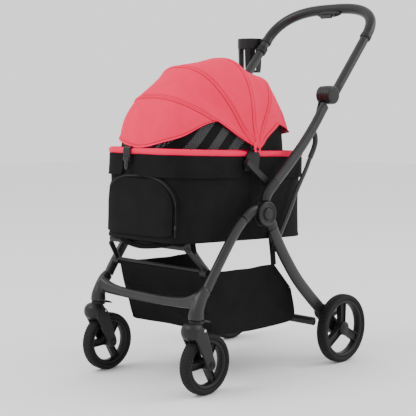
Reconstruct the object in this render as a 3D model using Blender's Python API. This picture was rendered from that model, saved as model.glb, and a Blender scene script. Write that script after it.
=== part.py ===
"""Pet stroller: folding frame, swivel front wheels, lift-off carrier with a bowed canopy.

Metres, +Z up, front towards -Y. Everything is placed in the stroller's own frame, whose X = 0 is
the middle between the wheels; one empty carries that frame so that the origin lies under the
middle of the whole outline, cup holder included.
"""
import math

import bmesh
import bpy
import numpy as np
from mathutils import Matrix, Vector

for old in list(bpy.data.objects):
    bpy.data.objects.remove(old, do_unlink=True)

# ---------------------------------------------------------------- driving sizes
GAP = 0.0003                 # air between pieces that touch
PLAY = 0.0006                # air between pieces that slide or turn on each other

FRAME_HALF = 0.198           # middle of the side frame tubes from the middle of the stroller
TUBE_THICK = 0.020           # side frame tubes, across (X)
FRONT_LEG_DEPTH = 0.028
UPPER_TUBE_DEPTH = 0.030
REAR_LEG_DEPTH = 0.036

FRONT_AXLE_Y = -0.3515
FRONT_WHEEL_R = 0.0825
FRONT_WHEEL_W = 0.034
REAR_AXLE_Y = 0.192
REAR_WHEEL_R = 0.101
REAR_WHEEL_W = 0.034
REAR_HALF_TRACK = 0.2270
AXLE_R = 0.0045
TYRE_DEPTH = 0.018           # rubber, from the tread down to the rim seat

STEM_Y = -0.383              # caster swivel axis
SOCKET_BOTTOM_Z = 0.2035
SOCKET_R = 0.021
PIVOT_Y, PIVOT_Z = -0.378, 0.178      # fork suspension pin
FORK_GAP_HALF = 0.0195       # half the clear width between the fork arms
FORK_ARM_T = 0.0085

HUB_Y, HUB_Z = -0.124, 0.4622
HUB_R = 0.035
KNOB_Y, KNOB_Z = 0.1530, 0.7860
KNOB_R = 0.0262
COLLAR_Y, COLLAR_Z = 0.3315, 0.9600   # where the grip sleeve starts
STEM_TUBE_R = 0.0135
GRIP_R = 0.0160
STEM_DEGREES = 49.0          # slope of the handle
GRIP_RISE = 0.130            # how far the grip's middle is past its collars
STEM_SEAT = 0.0310           # foot of each stem, from the knob's axis

PIN_Y, PIN_Z = -0.130, 0.638          # canopy rivets on the carrier
CARRIER_NOSE_UP = math.radians(2.3)
CARRIER_HALF_W = 0.157
CARRIER_FRONT = -0.270       # from the rivets, along the tilted carrier
CARRIER_REAR = 0.255
CARRIER_DEPTH = 0.230
PLAN_POWER = 7.0              # squareness of the carrier seen from above
CLIP_X = -0.036
DOOR_HALF_W = 0.130
CARRIER_WALL = 0.0035
RIM_R = 0.009
RIM_BELOW_PIN = 0.013
HANGER_IN = CARRIER_HALF_W + 0.0088   # plates on the carrier's sides
HANGER_OUT = HANGER_IN + 0.0042

CUP_R = 0.040
CUP_H = 0.110
CUP_X, CUP_Y, CUP_TOP = -0.256, 0.316, 0.972

CROSS_TUBE_Y, CROSS_TUBE_Z = 0.116, 0.1255
BASKET_HALF_W = 0.163
BOSS_IN = 0.1645             # inner face of the bosses on the front legs

LAYER_IN = FRAME_HALF - TUBE_THICK / 2
LAYER_OUT = FRAME_HALF + TUBE_THICK / 2

# ---------------------------------------------------------------- materials


def finish(name, colour, rough, metal=0.0):
    """A Principled material in one colour."""
    mat = bpy.data.materials.new(name)
    mat.use_nodes = True
    shader = mat.node_tree.nodes["Principled BSDF"]
    shader.inputs["Base Color"].default_value = (*colour, 1.0)
    shader.inputs["Roughness"].default_value = rough
    shader.inputs["Metallic"].default_value = metal
    mat.diffuse_color = (*colour, 1.0)
    return mat


FRAME_PAINT = finish("frame_paint", (0.030, 0.031, 0.034), 0.45, 0.3)
PLASTIC = finish("plastic", (0.022, 0.022, 0.024), 0.5)
RUBBER = finish("rubber", (0.018, 0.018, 0.019), 0.75)
SLEEVE = finish("grip_sleeve", (0.020, 0.020, 0.021), 0.6)
BLACK_CLOTH = finish("black_cloth", (0.012, 0.012, 0.013), 0.9)
PINK_CLOTH = finish("pink_cloth", (0.90, 0.10, 0.16), 0.85)
STEEL = finish("steel", (0.55, 0.56, 0.58), 0.3, 1.0)

# ---------------------------------------------------------------- the stroller's frame
STEM_ANGLE = math.radians(STEM_DEGREES)
ALONG = (math.cos(STEM_ANGLE), math.sin(STEM_ANGLE))
STEM_REACH = (COLLAR_Y - KNOB_Y) * ALONG[0] + (COLLAR_Z - KNOB_Z) * ALONG[1]
MOST_LEFT = CUP_X - CUP_R
MOST_RIGHT = REAR_HALF_TRACK + REAR_WHEEL_W / 2
MOST_BACK = COLLAR_Y + GRIP_RISE * math.cos(STEM_ANGLE) + GRIP_R
MOST_FRONT = FRONT_AXLE_Y - FRONT_WHEEL_R


def empty(name, parent=None, place=(0, 0, 0), turn=(0, 0, 0)):
    """An empty that carries other pieces."""
    obj = bpy.data.objects.new(name, None)
    bpy.context.scene.collection.objects.link(obj)
    obj.parent = parent
    obj.location = place
    obj.rotation_euler = turn
    return obj


MIDDLE = empty("stroller", place=(-(MOST_LEFT + MOST_RIGHT) / 2, -(MOST_BACK + MOST_FRONT) / 2, 0))
TILT = empty("carrier_tilt", MIDDLE, (0, PIN_Y, PIN_Z), (-CARRIER_NOSE_UP, 0, 0))

# ---------------------------------------------------------------- modelling tools


def new_piece(name, points, faces, material, parent=None, origin=(0, 0, 0), smooth=40):
    """One object from points and faces; its origin is moved to the joint it turns on."""
    origin = Vector(origin)
    mesh = bpy.data.meshes.new(name)
    mesh.from_pydata([tuple(Vector(p) - origin) for p in points], [], faces)
    bm = bmesh.new()
    bm.from_mesh(mesh)
    bmesh.ops.recalc_face_normals(bm, faces=bm.faces)
    bm.to_mesh(mesh)
    bm.free()
    mesh.materials.append(material)
    if smooth:
        mesh.shade_smooth()
        mesh.set_sharp_from_angle(angle=math.radians(smooth))
    obj = bpy.data.objects.new(name, mesh)
    bpy.context.scene.collection.objects.link(obj)
    obj.parent = parent or MIDDLE
    obj.location = origin
    return obj


def rings_to_solid(rings):
    """Points and faces of a closed solid through rings of equal count, with flat ends."""
    count = len(rings[0])
    points = [tuple(p) for ring in rings for p in ring]
    faces = []
    for k in range(len(rings) - 1):
        for i in range(count):
            j = (i + 1) % count
            faces.append((k * count + i, k * count + j, (k + 1) * count + j, (k + 1) * count + i))
    faces.append(tuple(range(count))[::-1])
    faces.append(tuple((len(rings) - 1) * count + i for i in range(count)))
    return points, faces


def oval(half_a, half_b, sides, power=2.0):
    """Section points of a rounded oval: a superellipse of the given power."""
    t = np.linspace(0, 2 * math.pi, sides, endpoint=False) + math.pi / sides
    c, s = np.cos(t), np.sin(t)
    return np.stack([half_a * np.sign(c) * abs(c) ** (2 / power),
                     half_b * np.sign(s) * abs(s) ** (2 / power)], 1)


def sweep(path, section, side, scales=None, closed=False):
    """Rings of a section carried along a path. `side` is the direction of the section's first
    axis; the second axis is square to it and to the path."""
    path = np.array(path, float)
    if closed:
        tangent = np.roll(path, -1, 0) - np.roll(path, 1, 0)
    else:
        tangent = np.gradient(path, axis=0)
    tangent /= np.linalg.norm(tangent, axis=1)[:, None]
    rings = []
    for k, (p, t) in enumerate(zip(path, tangent)):
        s = np.array(side(k) if callable(side) else side, float)
        s = s - t * (s @ t)
        s /= np.linalg.norm(s)
        up = np.cross(t, s)
        w = section * (1.0 if scales is None else scales[k])
        rings.append(p + w[:, :1] * s + w[:, 1:] * up)
    return rings


def smooth_path(corners, steps=5):
    """A Catmull-Rom curve through corner points."""
    c = np.array(corners, float)
    ends = np.vstack([2 * c[0] - c[1], c, 2 * c[-1] - c[-2]])
    out = []
    for i in range(1, len(ends) - 2):
        p0, p1, p2, p3 = ends[i - 1:i + 3]
        for t in np.linspace(0, 1, steps, endpoint=False):
            out.append(0.5 * (2 * p1 + (p2 - p0) * t + (2 * p0 - 5 * p1 + 4 * p2 - p3) * t ** 2
                              + (3 * p1 - p0 - 3 * p2 + p3) * t ** 3))
    out.append(c[-1])
    return np.array(out)


def tube(name, path, half_a, half_b, material, side=(1, 0, 0), sides=10, power=2.6, **kw):
    """A capped tube of oval section along a path."""
    points, faces = rings_to_solid(sweep(path, oval(half_a, half_b, sides, power), side))
    return new_piece(name, points, faces, material, **kw)


def turned(name, profile, centre, material, sides=24, **kw):
    """A solid turned round an axis along X. The profile runs (x, radius) from axis to axis."""
    points, faces, rows = [], [], []
    for x, r in profile:
        if r < 1e-6:
            rows.append([len(points)])
            points.append((centre[0] + x, centre[1], centre[2]))
            continue
        row = []
        for i in range(sides):
            a = 2 * math.pi * i / sides
            row.append(len(points))
            points.append((centre[0] + x, centre[1] + r * math.cos(a), centre[2] + r * math.sin(a)))
        rows.append(row)
    closed = profile[0][1] > 1e-6
    pairs = list(zip(rows, rows[1:])) + ([(rows[-1], rows[0])] if closed else [])
    for a, b in pairs:
        for i in range(sides):
            j = (i + 1) % sides
            if len(a) == 1:
                faces.append((a[0], b[i], b[j]))
            elif len(b) == 1:
                faces.append((a[i], a[j], b[0]))
            else:
                faces.append((a[i], a[j], b[j], b[i]))
    return new_piece(name, points, faces, material, **kw)


def plate(name, outline, x_low, x_high, material, **kw):
    """An outline of (y, z) points given a thickness along X."""
    rings = [[(x, y, z) for y, z in outline] for x in (x_low, x_high)]
    points, faces = rings_to_solid(rings)
    return new_piece(name, points, faces, material, **kw)


def block(name, low, high, material, **kw):
    """A box between two corners."""
    (x0, y0, z0), (x1, y1, z1) = low, high
    return plate(name, [(y0, z0), (y1, z0), (y1, z1), (y0, z1)], x0, x1, material, **kw)


def arc(cy, cz, r, start, end, steps):
    """Points of an arc in (y, z); angles in degrees from +Y towards +Z."""
    return [(cy + r * math.cos(math.radians(a)), cz + r * math.sin(math.radians(a)))
            for a in np.linspace(start, end, steps)]


def slab(y0, z0, r0, y1, z1, r1, steps=7):
    """Outline of a bar whose round ends have radii r0 and r1: a link plate."""
    along = math.degrees(math.atan2(z1 - z0, y1 - y0))
    lean = math.degrees(math.asin((r0 - r1) / math.hypot(y1 - y0, z1 - z0)))
    first = arc(y0, z0, r0, along + 90 - lean, along + 270 + lean, steps)
    return first + arc(y1, z1, r1, along - 90 + lean, along + 90 - lean, steps)


def modify(obj, tool, operation):
    """Boolean with a hidden tool object."""
    mod = obj.modifiers.new(operation.lower(), "BOOLEAN")
    mod.operation = operation
    mod.solver = "EXACT"
    mod.object = tool
    tool.hide_render = True
    tool.display_type = "WIRE"
    return obj


def cut(obj, *tools):
    for tool in tools:
        modify(obj, tool, "DIFFERENCE")
    return obj


def join(obj, *tools):
    for tool in tools:
        modify(obj, tool, "UNION")
    return obj


def sides_of_frame():
    """The two sides: name suffix and sign of X. The right side carries +X."""
    return (("right", 1), ("left", -1))


def span(sign, inner, outer):
    """X limits of a layer measured outwards from the middle, on either side."""
    return (inner, outer) if sign > 0 else (-outer, -inner)


# ---------------------------------------------------------------- hub and legs
RING_IN = LAYER_IN + 0.0105
RING_OUT = LAYER_OUT + 0.0090
LEG_LINE = [(-0.2035, 0.4503), (-0.2293, 0.4265), (-0.2525, 0.4000), (-0.2907, 0.3510), (-0.3283, 0.3005),
            (-0.3451, 0.2760)]
REAR_LINE = [(-0.0860, 0.4190), (-0.0812, 0.4102), (-0.0663, 0.3830), (-0.0263, 0.3235), (0.0238, 0.2610),
             (0.0800, 0.2060), (0.1300, 0.1620)]
UPPER_LINE = [(-0.0740, 0.5455), (-0.0321, 0.5800), (0.0345, 0.6385), (0.0900, 0.6960)]


def side_path(line, x, steps=5):
    """A smooth path at constant X through (y, z) corners."""
    return smooth_path([(x, y, z) for y, z in line], steps)


def front_frame(suffix, sign):
    """Front leg, hub housing with its elbow, upper elbow, upper tube and lower knob half."""
    x = sign * FRAME_HALF
    tube("front_leg_" + suffix, side_path(LEG_LINE, x, 3), TUBE_THICK / 2, FRONT_LEG_DEPTH / 2, FRAME_PAINT)

    lo, hi = span(sign, LAYER_IN, RING_IN - PLAY)
    housing = turned("hub_housing_" + suffix,
                     [(lo, 0), (lo, HUB_R - 0.002), (lo + 0.002, HUB_R), (hi - 0.001, HUB_R), (hi,
                             HUB_R - 0.001),
                      (hi, 0)], (0, HUB_Y, HUB_Z), PLASTIC)
    elbow = smooth_path([(x, HUB_Y - 0.010, 0.4690), (x, -0.1560, 0.4730), (x, -0.1780, 0.4670),
                         (x, -0.2019 + GAP, 0.4516)], 3)
    arm = tube("hub_elbow_tool_" + suffix, elbow, TUBE_THICK / 2 + 0.0008, FRONT_LEG_DEPTH / 2 + 0.0012,
            PLASTIC)
    room = span(sign, RING_IN - PLAY, RING_OUT + 0.01)
    around = turned("hub_room_tool_" + suffix,
                    [(room[0], 0), (room[0], HUB_R + PLAY), (room[1], HUB_R + PLAY), (room[1], 0)],
                    (0, HUB_Y, HUB_Z), PLASTIC, sides=32)
    cut(arm, around)
    join(housing, arm)

    neck = smooth_path([(x, HUB_Y + 0.008, HUB_Z + 0.020), (x, -0.1140, 0.5030), (x, -0.1030, 0.5205),
                        (x, -0.0740 - GAP, 0.5455 - GAP)], 3)
    elbow_up = tube("upper_elbow_" + suffix, neck, TUBE_THICK / 2 + 0.0008,
            UPPER_TUBE_DEPTH / 2 + 0.0010, PLASTIC)
    under = span(sign, LAYER_IN - 0.01, RING_OUT + 0.01)
    clear = turned("upper_room_tool_" + suffix,
                   [(under[0], 0), (under[0], HUB_R + PLAY), (under[1], HUB_R + PLAY), (under[1], 0)],
                   (0, HUB_Y, HUB_Z), PLASTIC, sides=32)
    cut(elbow_up, clear)

    path = side_path(UPPER_LINE + [(KNOB_Y - 0.010, KNOB_Z - 0.0262)], x, 3)
    upper = tube("upper_tube_" + suffix, path, TUBE_THICK / 2, UPPER_TUBE_DEPTH / 2, FRAME_PAINT)
    lo, hi = span(sign, FRAME_HALF - 0.0105, FRAME_HALF + 0.0105)
    room = turned("knob_room_tool_" + suffix,
                  [(lo, 0), (lo, KNOB_R + GAP), (hi, KNOB_R + GAP), (hi, 0)],
                  (0, KNOB_Y, KNOB_Z), PLASTIC)
    cut(upper, room)
    turned("knob_core_" + suffix, knob_profile(*span(sign, FRAME_HALF - 0.0100, FRAME_HALF + 0.0100)),
           (0, KNOB_Y, KNOB_Z), PLASTIC)


def knob_profile(lo, hi, edge=0.0015):
    """A disc with softened rims."""
    return [(lo, 0), (lo, KNOB_R - edge), (lo + edge, KNOB_R), (hi - edge, KNOB_R), (hi, KNOB_R - edge),
            (hi, 0)]


def rear_frame(suffix, sign):
    """Rear leg, its hub ring, the hub's centre button and the wheel bracket."""
    x = sign * FRAME_HALF
    path = side_path(REAR_LINE, x, 3)
    leg = tube("rear_leg_" + suffix, path, TUBE_THICK / 2, REAR_LEG_DEPTH / 2, FRAME_PAINT,
               origin=(x, HUB_Y, HUB_Z))
    lo, hi = span(sign, RING_IN, RING_OUT)
    edge = 0.002
    ring = turned("hub_ring_" + suffix,
                  [(lo, 0), (lo, HUB_R - 0.0005), (hi - edge * 0.5, HUB_R - 0.0005), (hi, HUB_R - 0.003),
                          (hi, 0)]
                  if sign > 0 else
                  [(lo, 0), (lo, HUB_R - 0.003), (lo + edge * 0.5, HUB_R - 0.0005), (hi, HUB_R - 0.0005),
                          (hi, 0)],
                  (0, HUB_Y, HUB_Z), PLASTIC, sides=32, origin=(x, HUB_Y, HUB_Z))
    tail_path = [(x, HUB_Y + 0.006, HUB_Z - 0.012), (x, -0.1040, 0.4440), (x, -0.0920, 0.4300), (x,
            -0.0863, 0.41955)]
    tail = tube("hub_tail_tool_" + suffix, tail_path, TUBE_THICK / 2 + 0.0008,
            REAR_LEG_DEPTH / 2 + 0.0008, PLASTIC)
    inner = span(sign, LAYER_IN - 0.01, RING_IN + PLAY)
    around = turned("hub_inner_tool_" + suffix,
                    [(inner[0], 0), (inner[0], HUB_R + PLAY), (inner[1], HUB_R + PLAY), (inner[1], 0)],
                    (0, HUB_Y, HUB_Z), PLASTIC, sides=32)
    cut(tail, around)
    join(ring, tail)
    button = 0.0155
    base, crown = sign * (RING_OUT - 0.003), sign * (RING_OUT + 0.0040)
    join(ring, turned("hub_button_tool_" + suffix,
                      [(base, 0), (base, button), (crown - sign * 0.0015, button), (crown,
                              button - 0.003), (crown, 0)],
                      (0, HUB_Y, HUB_Z), PLASTIC))
    wheel_bracket(suffix, sign)
    return leg


def wheel_bracket(suffix, sign):
    """The moulding at the foot of the rear leg that carries the axle and the brake."""
    y, z = REAR_AXLE_Y, REAR_WHEEL_R
    lo, hi = span(sign, LAYER_IN - 0.002, LAYER_OUT - 0.0006)
    outline = slab(0.1345, 0.1580, 0.0200, y, z, 0.0215)
    bracket = plate("wheel_bracket_" + suffix, outline, lo, hi, PLASTIC, origin=(sign * FRAME_HALF, y, z))
    x = sign * FRAME_HALF
    seat = tube("leg_seat_tool_" + suffix, side_path(REAR_LINE, x, 3), TUBE_THICK / 2 + GAP,
                REAR_LEG_DEPTH / 2 + GAP, PLASTIC)
    end_cut = block("leg_end_tool_" + suffix, (x - 0.02, 0.0680, 0.1622), (x + 0.02, 0.1304, 0.30), PLASTIC)
    cut(bracket, seat, end_cut)
    lo, hi = span(sign, LAYER_OUT - 0.004, REAR_HALF_TRACK + 0.0130)
    axle = turned("rear_axle_tool_" + suffix, [(lo, 0), (lo, AXLE_R), (hi, AXLE_R), (hi, 0)], (0, y, z),
            STEEL,
                  sides=16)
    join(bracket, axle)


# ---------------------------------------------------------------- wheels


def tyre(name, centre, radius, width, parent=None):
    """Rubber ring with a rounded tread."""
    w, r = width / 2, radius
    depth = TYRE_DEPTH
    profile = [(-w * 0.62, r - depth), (-w, r - depth * 0.55), (-w * 0.84, r - depth * 0.17), (0, r),
               (w * 0.84, r - depth * 0.17), (w, r - depth * 0.55), (w * 0.62, r - depth)]
    return turned(name, profile, centre, RUBBER, sides=32, origin=centre)


def rim(name, centre, radius, width, hub_r, hub_half, spoke_half):
    """Moulded rim with three forked spokes and a bored hub."""
    w, seat = width / 2, radius - TYRE_DEPTH - GAP
    deep = 0.0105
    profile = [(-w * 0.60, seat), (-w * 0.80, seat - 0.003), (-w * 0.62, seat - deep),
               (w * 0.62, seat - deep), (w * 0.80, seat - 0.003), (w * 0.60, seat)]
    body = turned(name, profile, centre, PLASTIC, sides=32, origin=centre)
    hub = turned(name + "_hub_tool", [(-hub_half, 0), (-hub_half, hub_r), (hub_half, hub_r), (hub_half, 0)],
                 centre, PLASTIC, sides=14)
    tools = [hub]
    for k in range(3):
        a = math.radians(90 + 120 * k)
        for s in (-1, 1):
            b = a + s * 0.17
            y0, z0 = centre[1] + hub_r * 0.55 * math.cos(a + s * 0.5), centre[2] + hub_r * 0.55 * math.sin(a + s * 0.5)
            out = seat - deep * 0.5
            y1, z1 = centre[1] + out * math.cos(b), centre[2] + out * math.sin(b)
            tools.append(plate(f"{name}_spoke_tool_{k}{'ab'[s > 0]}", slab(y0, z0, 0.0026, y1, z1, 0.0026, 2),
                               centre[0] - spoke_half, centre[0] + spoke_half, PLASTIC))
    join(body, *tools)
    bore = turned(name + "_bore_tool", [(-0.05, 0), (-0.05, AXLE_R + PLAY), (0.05, AXLE_R + PLAY), (0.05, 0)],
                  centre, PLASTIC, sides=16)
    return cut(body, bore)


# ---------------------------------------------------------------- front crossbar and casters


def front_crossbar():
    """One casting: both leg sockets and caster sockets with a waisted bar between them."""
    foot = [(-FRAME_HALF, STEM_Y, SOCKET_BOTTOM_Z)]
    leg = [(-FRAME_HALF, STEM_Y, SOCKET_BOTTOM_Z + 0.010), (-FRAME_HALF, STEM_Y + 0.0030, 0.2280),
           (-FRAME_HALF, -0.3710, 0.2480), (-FRAME_HALF, -0.3610, 0.2630), (-FRAME_HALF, -0.3455, 0.2752)]
    path = np.vstack([foot, smooth_path(leg, 2)])
    section = oval(SOCKET_R, SOCKET_R, 12)
    ends = np.linspace(0, 1, len(path))
    thick = SOCKET_R + (TUBE_THICK / 2 + 0.002 - SOCKET_R) * ends ** 1.2
    deep = SOCKET_R + (FRONT_LEG_DEPTH / 2 + 0.002 - SOCKET_R) * ends
    tangent = np.gradient(path, axis=0)
    tangent /= np.linalg.norm(tangent, axis=1)[:, None]
    posts = []
    for _, sign in sides_of_frame():
        rings = []
        for p, t, a, b in zip(path, tangent, thick / SOCKET_R, deep / SOCKET_R):
            up = np.cross(t, (1, 0, 0))
            ring = p * (-sign, 1, 1) + section[:, :1] * a * np.array((1, 0, 0)) + section[:, 1:] * b * up
            rings.append(ring)
        points, faces = rings_to_solid(rings)
        name = "front_crossbar" if sign > 0 else "crossbar_post_tool"
        posts.append(new_piece(name, points, faces, FRAME_PAINT))
    xs = np.linspace(-FRAME_HALF, FRAME_HALF, 15)
    u = abs(xs / FRAME_HALF)
    rise = 0.0125 * u ** 2 + 0.020 * u ** 7
    half_tall = 0.0135 + 0.016 * u ** 6
    half_deep = 0.0130 + 0.003 * u ** 4
    rings = []
    for x, dz, a, b in zip(xs, rise, half_tall, half_deep):
        sec = oval(b, a, 10, 2.8)
        rings.append(np.stack([np.full(10, x), -0.3725 + sec[:, 0], 0.2370 + dz * 0.55 + sec[:, 1]], 1))
    points, faces = rings_to_solid(rings)
    bar = new_piece("crossbar_bar_tool", points, faces, FRAME_PAINT)
    join(posts[0], posts[1], bar)
    for _, sign in sides_of_frame():
        x = sign * FRAME_HALF
        seat = tube(f"leg_socket_tool_{sign}", side_path(LEG_LINE, x, 3),
                    TUBE_THICK / 2 + GAP, FRONT_LEG_DEPTH / 2 + GAP, PLASTIC)
        bore = upright(f"stem_bore_tool_{sign}", [(0, SOCKET_BOTTOM_Z - 0.01), (0.0065,
                SOCKET_BOTTOM_Z - 0.01),
                       (0.0065, SOCKET_BOTTOM_Z + 0.026), (0, SOCKET_BOTTOM_Z + 0.026)], (x, STEM_Y), 16)
        cut(posts[0], seat, bore)
    return posts[0]


def upright(name, profile, place, sides, material=None, **kw):
    """A solid turned round a vertical axis. The profile runs (radius, z) from axis to axis."""
    points, faces, rows = [], [], []
    for r, z in profile:
        count = 1 if r < 1e-6 else sides
        rows.append(range(len(points), len(points) + count))
        for i in range(count):
            a = 2 * math.pi * i / sides
            points.append((place[0] + r * math.cos(a), place[1] + r * math.sin(a), z))
    for a, b in zip(rows, rows[1:]):
        for i in range(sides):
            j = (i + 1) % sides
            if len(a) == 1:
                faces.append((a[0], b[i], b[j]))
            elif len(b) == 1:
                faces.append((a[i], a[j], b[0]))
            else:
                faces.append((a[i], a[j], b[j], b[i]))
    return new_piece(name, points, faces, material or PLASTIC, **kw)


def caster(suffix, sign):
    """Swivel with its stem, sprung fork, wheel and swivel lock lever."""
    x = sign * FRAME_HALF
    top = SOCKET_BOTTOM_Z - PLAY
    swivel = upright("caster_swivel_" + suffix,
                     [(0, top - 0.008), (0.0185, top - 0.008), (0.0200, top - 0.0065), (0.0200, top),
                             (0.0058, top),
                      (0.0058, top + 0.024), (0, top + 0.024)], (x, STEM_Y), 24,
                     origin=(x, STEM_Y, SOCKET_BOTTOM_Z))
    cheek = 0.0135
    core = plate("swivel_core_tool_" + suffix,
                 slab(PIVOT_Y, PIVOT_Z, 0.0125, STEM_Y + 0.001, top - 0.0130, 0.0120), x - cheek,
                         x + cheek, PLASTIC)
    join(swivel, core)
    pin_hole = turned("swivel_pin_tool_" + suffix, [(-0.03, 0), (-0.03, 0.0046), (0.03, 0.0046), (0.03, 0)],
                      (x, PIVOT_Y, PIVOT_Z), PLASTIC, sides=12)
    cut(swivel, pin_hole)

    axle = (x, FRONT_AXLE_Y, FRONT_WHEEL_R)
    outer = FORK_GAP_HALF + FORK_ARM_T
    pocket_front = PIVOT_Y - 0.0205
    nose_y, nose_z, nose_r = -0.4010, 0.1765, 0.0225
    arm = slab(PIVOT_Y + 0.001, PIVOT_Z - 0.006, 0.0185, FRONT_AXLE_Y, FRONT_WHEEL_R, 0.0150)
    fork = plate("fork_" + suffix, arm, x - outer, x + outer, PLASTIC, origin=(x, PIVOT_Y, PIVOT_Z))
    nose = plate("fork_nose_tool_" + suffix,
                 arc(nose_y, nose_z, nose_r, 75, 215, 9) + [(-0.4080, 0.1420), (-0.3800, 0.1600),
                         (-0.3720, 0.1900)],
                 x - outer + 0.0004, x + outer - 0.0004, PLASTIC)
    join(fork, nose)
    clear = FRONT_WHEEL_R + 0.0045
    wheel_room = turned("fork_wheel_tool_" + suffix,
                        [(-FORK_GAP_HALF, 0), (-FORK_GAP_HALF, clear), (FORK_GAP_HALF, clear),
                                (FORK_GAP_HALF, 0)],
                        axle, PLASTIC, sides=32)
    pocket = block("fork_pocket_tool_" + suffix, (x - cheek - PLAY, pocket_front, 0.120),
                   (x + cheek + PLAY, PIVOT_Y + 0.06, 0.23), PLASTIC)
    roof = block("fork_roof_tool_" + suffix, (x - 0.04, PIVOT_Y - 0.028, top - 0.0090),
                 (x + 0.04, PIVOT_Y + 0.06, 0.24), PLASTIC)
    cut(fork, wheel_room, pocket, roof)
    pin = turned("fork_pin_tool_" + suffix, [(-outer - 0.001, 0), (-outer - 0.001, 0.0040),
            (outer + 0.001, 0.0040),
                 (outer + 0.001, 0)], (x, PIVOT_Y, PIVOT_Z), STEEL, sides=12)
    bolt = turned("fork_axle_tool_" + suffix,
                  [(-outer - 0.002, 0), (-outer - 0.002, 0.0075), (-outer + 0.001, 0.0075),
                          (-outer + 0.001, AXLE_R),
                   (outer - 0.001, AXLE_R), (outer - 0.001, 0.0075), (outer + 0.002, 0.0075),
                           (outer + 0.002, 0)],
                  axle, STEEL, sides=12)
    join(fork, pin, bolt)

    tyre("front_tyre_" + suffix, axle, FRONT_WHEEL_R, FRONT_WHEEL_W)
    rim("front_rim_" + suffix, axle, FRONT_WHEEL_R, FRONT_WHEEL_W, 0.0125, 0.0160, 0.0065)

    tip = top - 0.0042
    hinge_y = STEM_Y + 0.0200 + 0.0062
    lever = plate("swivel_lock_" + suffix,
                  [(hinge_y - 0.0045, tip - 0.0028), (hinge_y + 0.0180, tip - 0.0075), (hinge_y + 0.0190,
                          tip - 0.0045),
                   (hinge_y + 0.0060, tip + 0.0015), (hinge_y - 0.0045, tip + 0.0028)], x - 0.0080,
                           x + 0.0080,
                  PLASTIC, origin=(x, hinge_y, tip))
    return lever


# ---------------------------------------------------------------- handle


def handle_line(s, w):
    """A point of the handle at w across and s past the collars, in the handle's plane."""
    return (w, COLLAR_Y + s * math.cos(STEM_ANGLE), COLLAR_Z + s * math.sin(STEM_ANGLE))


def grip_path(start, steps=8):
    """The handle's bow, from one collar over the top to the other: a rounded U."""
    out = []
    for t in np.linspace(0, math.pi, 2 * steps + 1):
        c, s = math.cos(t), math.sin(t)
        w = FRAME_HALF * math.copysign(abs(c) ** (2 / 2.9), c)
        out.append(handle_line(start + (GRIP_RISE - start) * abs(s) ** (2 / 2.3), w))
    return out


def handle():
    """One bent tube from knob to knob, the grip sleeve over its bow, and the release housing."""
    root = (0, KNOB_Y, KNOB_Z)
    foot = -(STEM_REACH - STEM_SEAT)
    bow = [np.array(p) for p in grip_path(0.004)]
    path = [handle_line(foot, FRAME_HALF), handle_line(-0.05, FRAME_HALF), *bow,
            handle_line(-0.05, -FRAME_HALF), handle_line(foot, -FRAME_HALF)]
    normal = (0, -math.sin(STEM_ANGLE), math.cos(STEM_ANGLE))
    bar = tube("handle_tube", path, STEM_TUBE_R, STEM_TUBE_R, FRAME_PAINT, side=normal, sides=12,
            power=2.0, origin=root)
    for suffix, sign in sides_of_frame():
        knuckle(suffix, sign, root)
    sleeve = tube("grip_sleeve", grip_path(0.0), GRIP_R, GRIP_R, SLEEVE, side=normal, sides=12,
            power=2.0, origin=root)
    inner = tube("sleeve_bore_tool", [handle_line(-0.03, FRAME_HALF), *bow, handle_line(-0.03, -FRAME_HALF)],
                 STEM_TUBE_R + GAP, STEM_TUBE_R + GAP, SLEEVE, side=normal, sides=12, power=2.0)
    cut(sleeve, inner)
    return sleeve


def knuckle(suffix, sign, root):
    """The handle's half of the knob: an outer cap and an inner cheek joined over the top, with the
    short socket that holds the stem and the arm that drives the rear strut."""
    lo, hi = span(sign, FRAME_HALF + 0.0100 + PLAY, FRAME_HALF + 0.0240)
    cap = turned("handle_knuckle_" + suffix, knob_profile(lo, hi, 0.002), (0, KNOB_Y, KNOB_Z), PLASTIC,
            origin=root)
    lo, hi = span(sign, FRAME_HALF - 0.0240, FRAME_HALF - 0.0100 - PLAY)
    cheek = turned("knuckle_cheek_tool_" + suffix, knob_profile(lo, hi, 0.002), (0, KNOB_Y, KNOB_Z), PLASTIC)
    x = sign * FRAME_HALF
    low, high = handle_line(0.010 - STEM_REACH, x), handle_line(STEM_SEAT + 0.013 - STEM_REACH, x)
    socket = plate("knuckle_socket_tool_" + suffix, slab(low[1], low[2], 0.0170, high[1], high[2], 0.0168),
                   x - 0.0205, x + 0.0205, PLASTIC)
    join(cap, socket, cheek)
    bar_room = tube("knuckle_seat_tool_" + suffix, [handle_line(d - STEM_REACH,
            x) for d in (STEM_SEAT - GAP, 0.06, 0.08)],
                    STEM_TUBE_R + GAP, STEM_TUBE_R + GAP, PLASTIC, side=(1, 0, 0), sides=12, power=2.0)
    core_room = turned("knuckle_core_room_tool_" + suffix,
                       [(x - 0.0100 - PLAY, 0), (x - 0.0100 - PLAY, KNOB_R + PLAY), (x + 0.0100 + PLAY,
                               KNOB_R + PLAY),
                        (x + 0.0100 + PLAY, 0)], (0, KNOB_Y, KNOB_Z), PLASTIC)
    cut(cap, core_room, bar_room)
    arm_lo, arm_hi = span(sign, 0.1800, 0.1850)
    arm = plate("knuckle_arm_tool_" + suffix, slab(KNOB_Y, KNOB_Z, 0.0150, STRUT_TOP_Y, STRUT_TOP_Z, 0.0085),
                arm_lo, arm_hi, PLASTIC)
    join(cap, arm)
    return cap


STRUT_TOP_Y, STRUT_TOP_Z = 0.1120, 0.6870
STRUT_FOOT_Y, STRUT_FOOT_Z = -0.0480, 0.3560
STRUT_X = 0.1725


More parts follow.
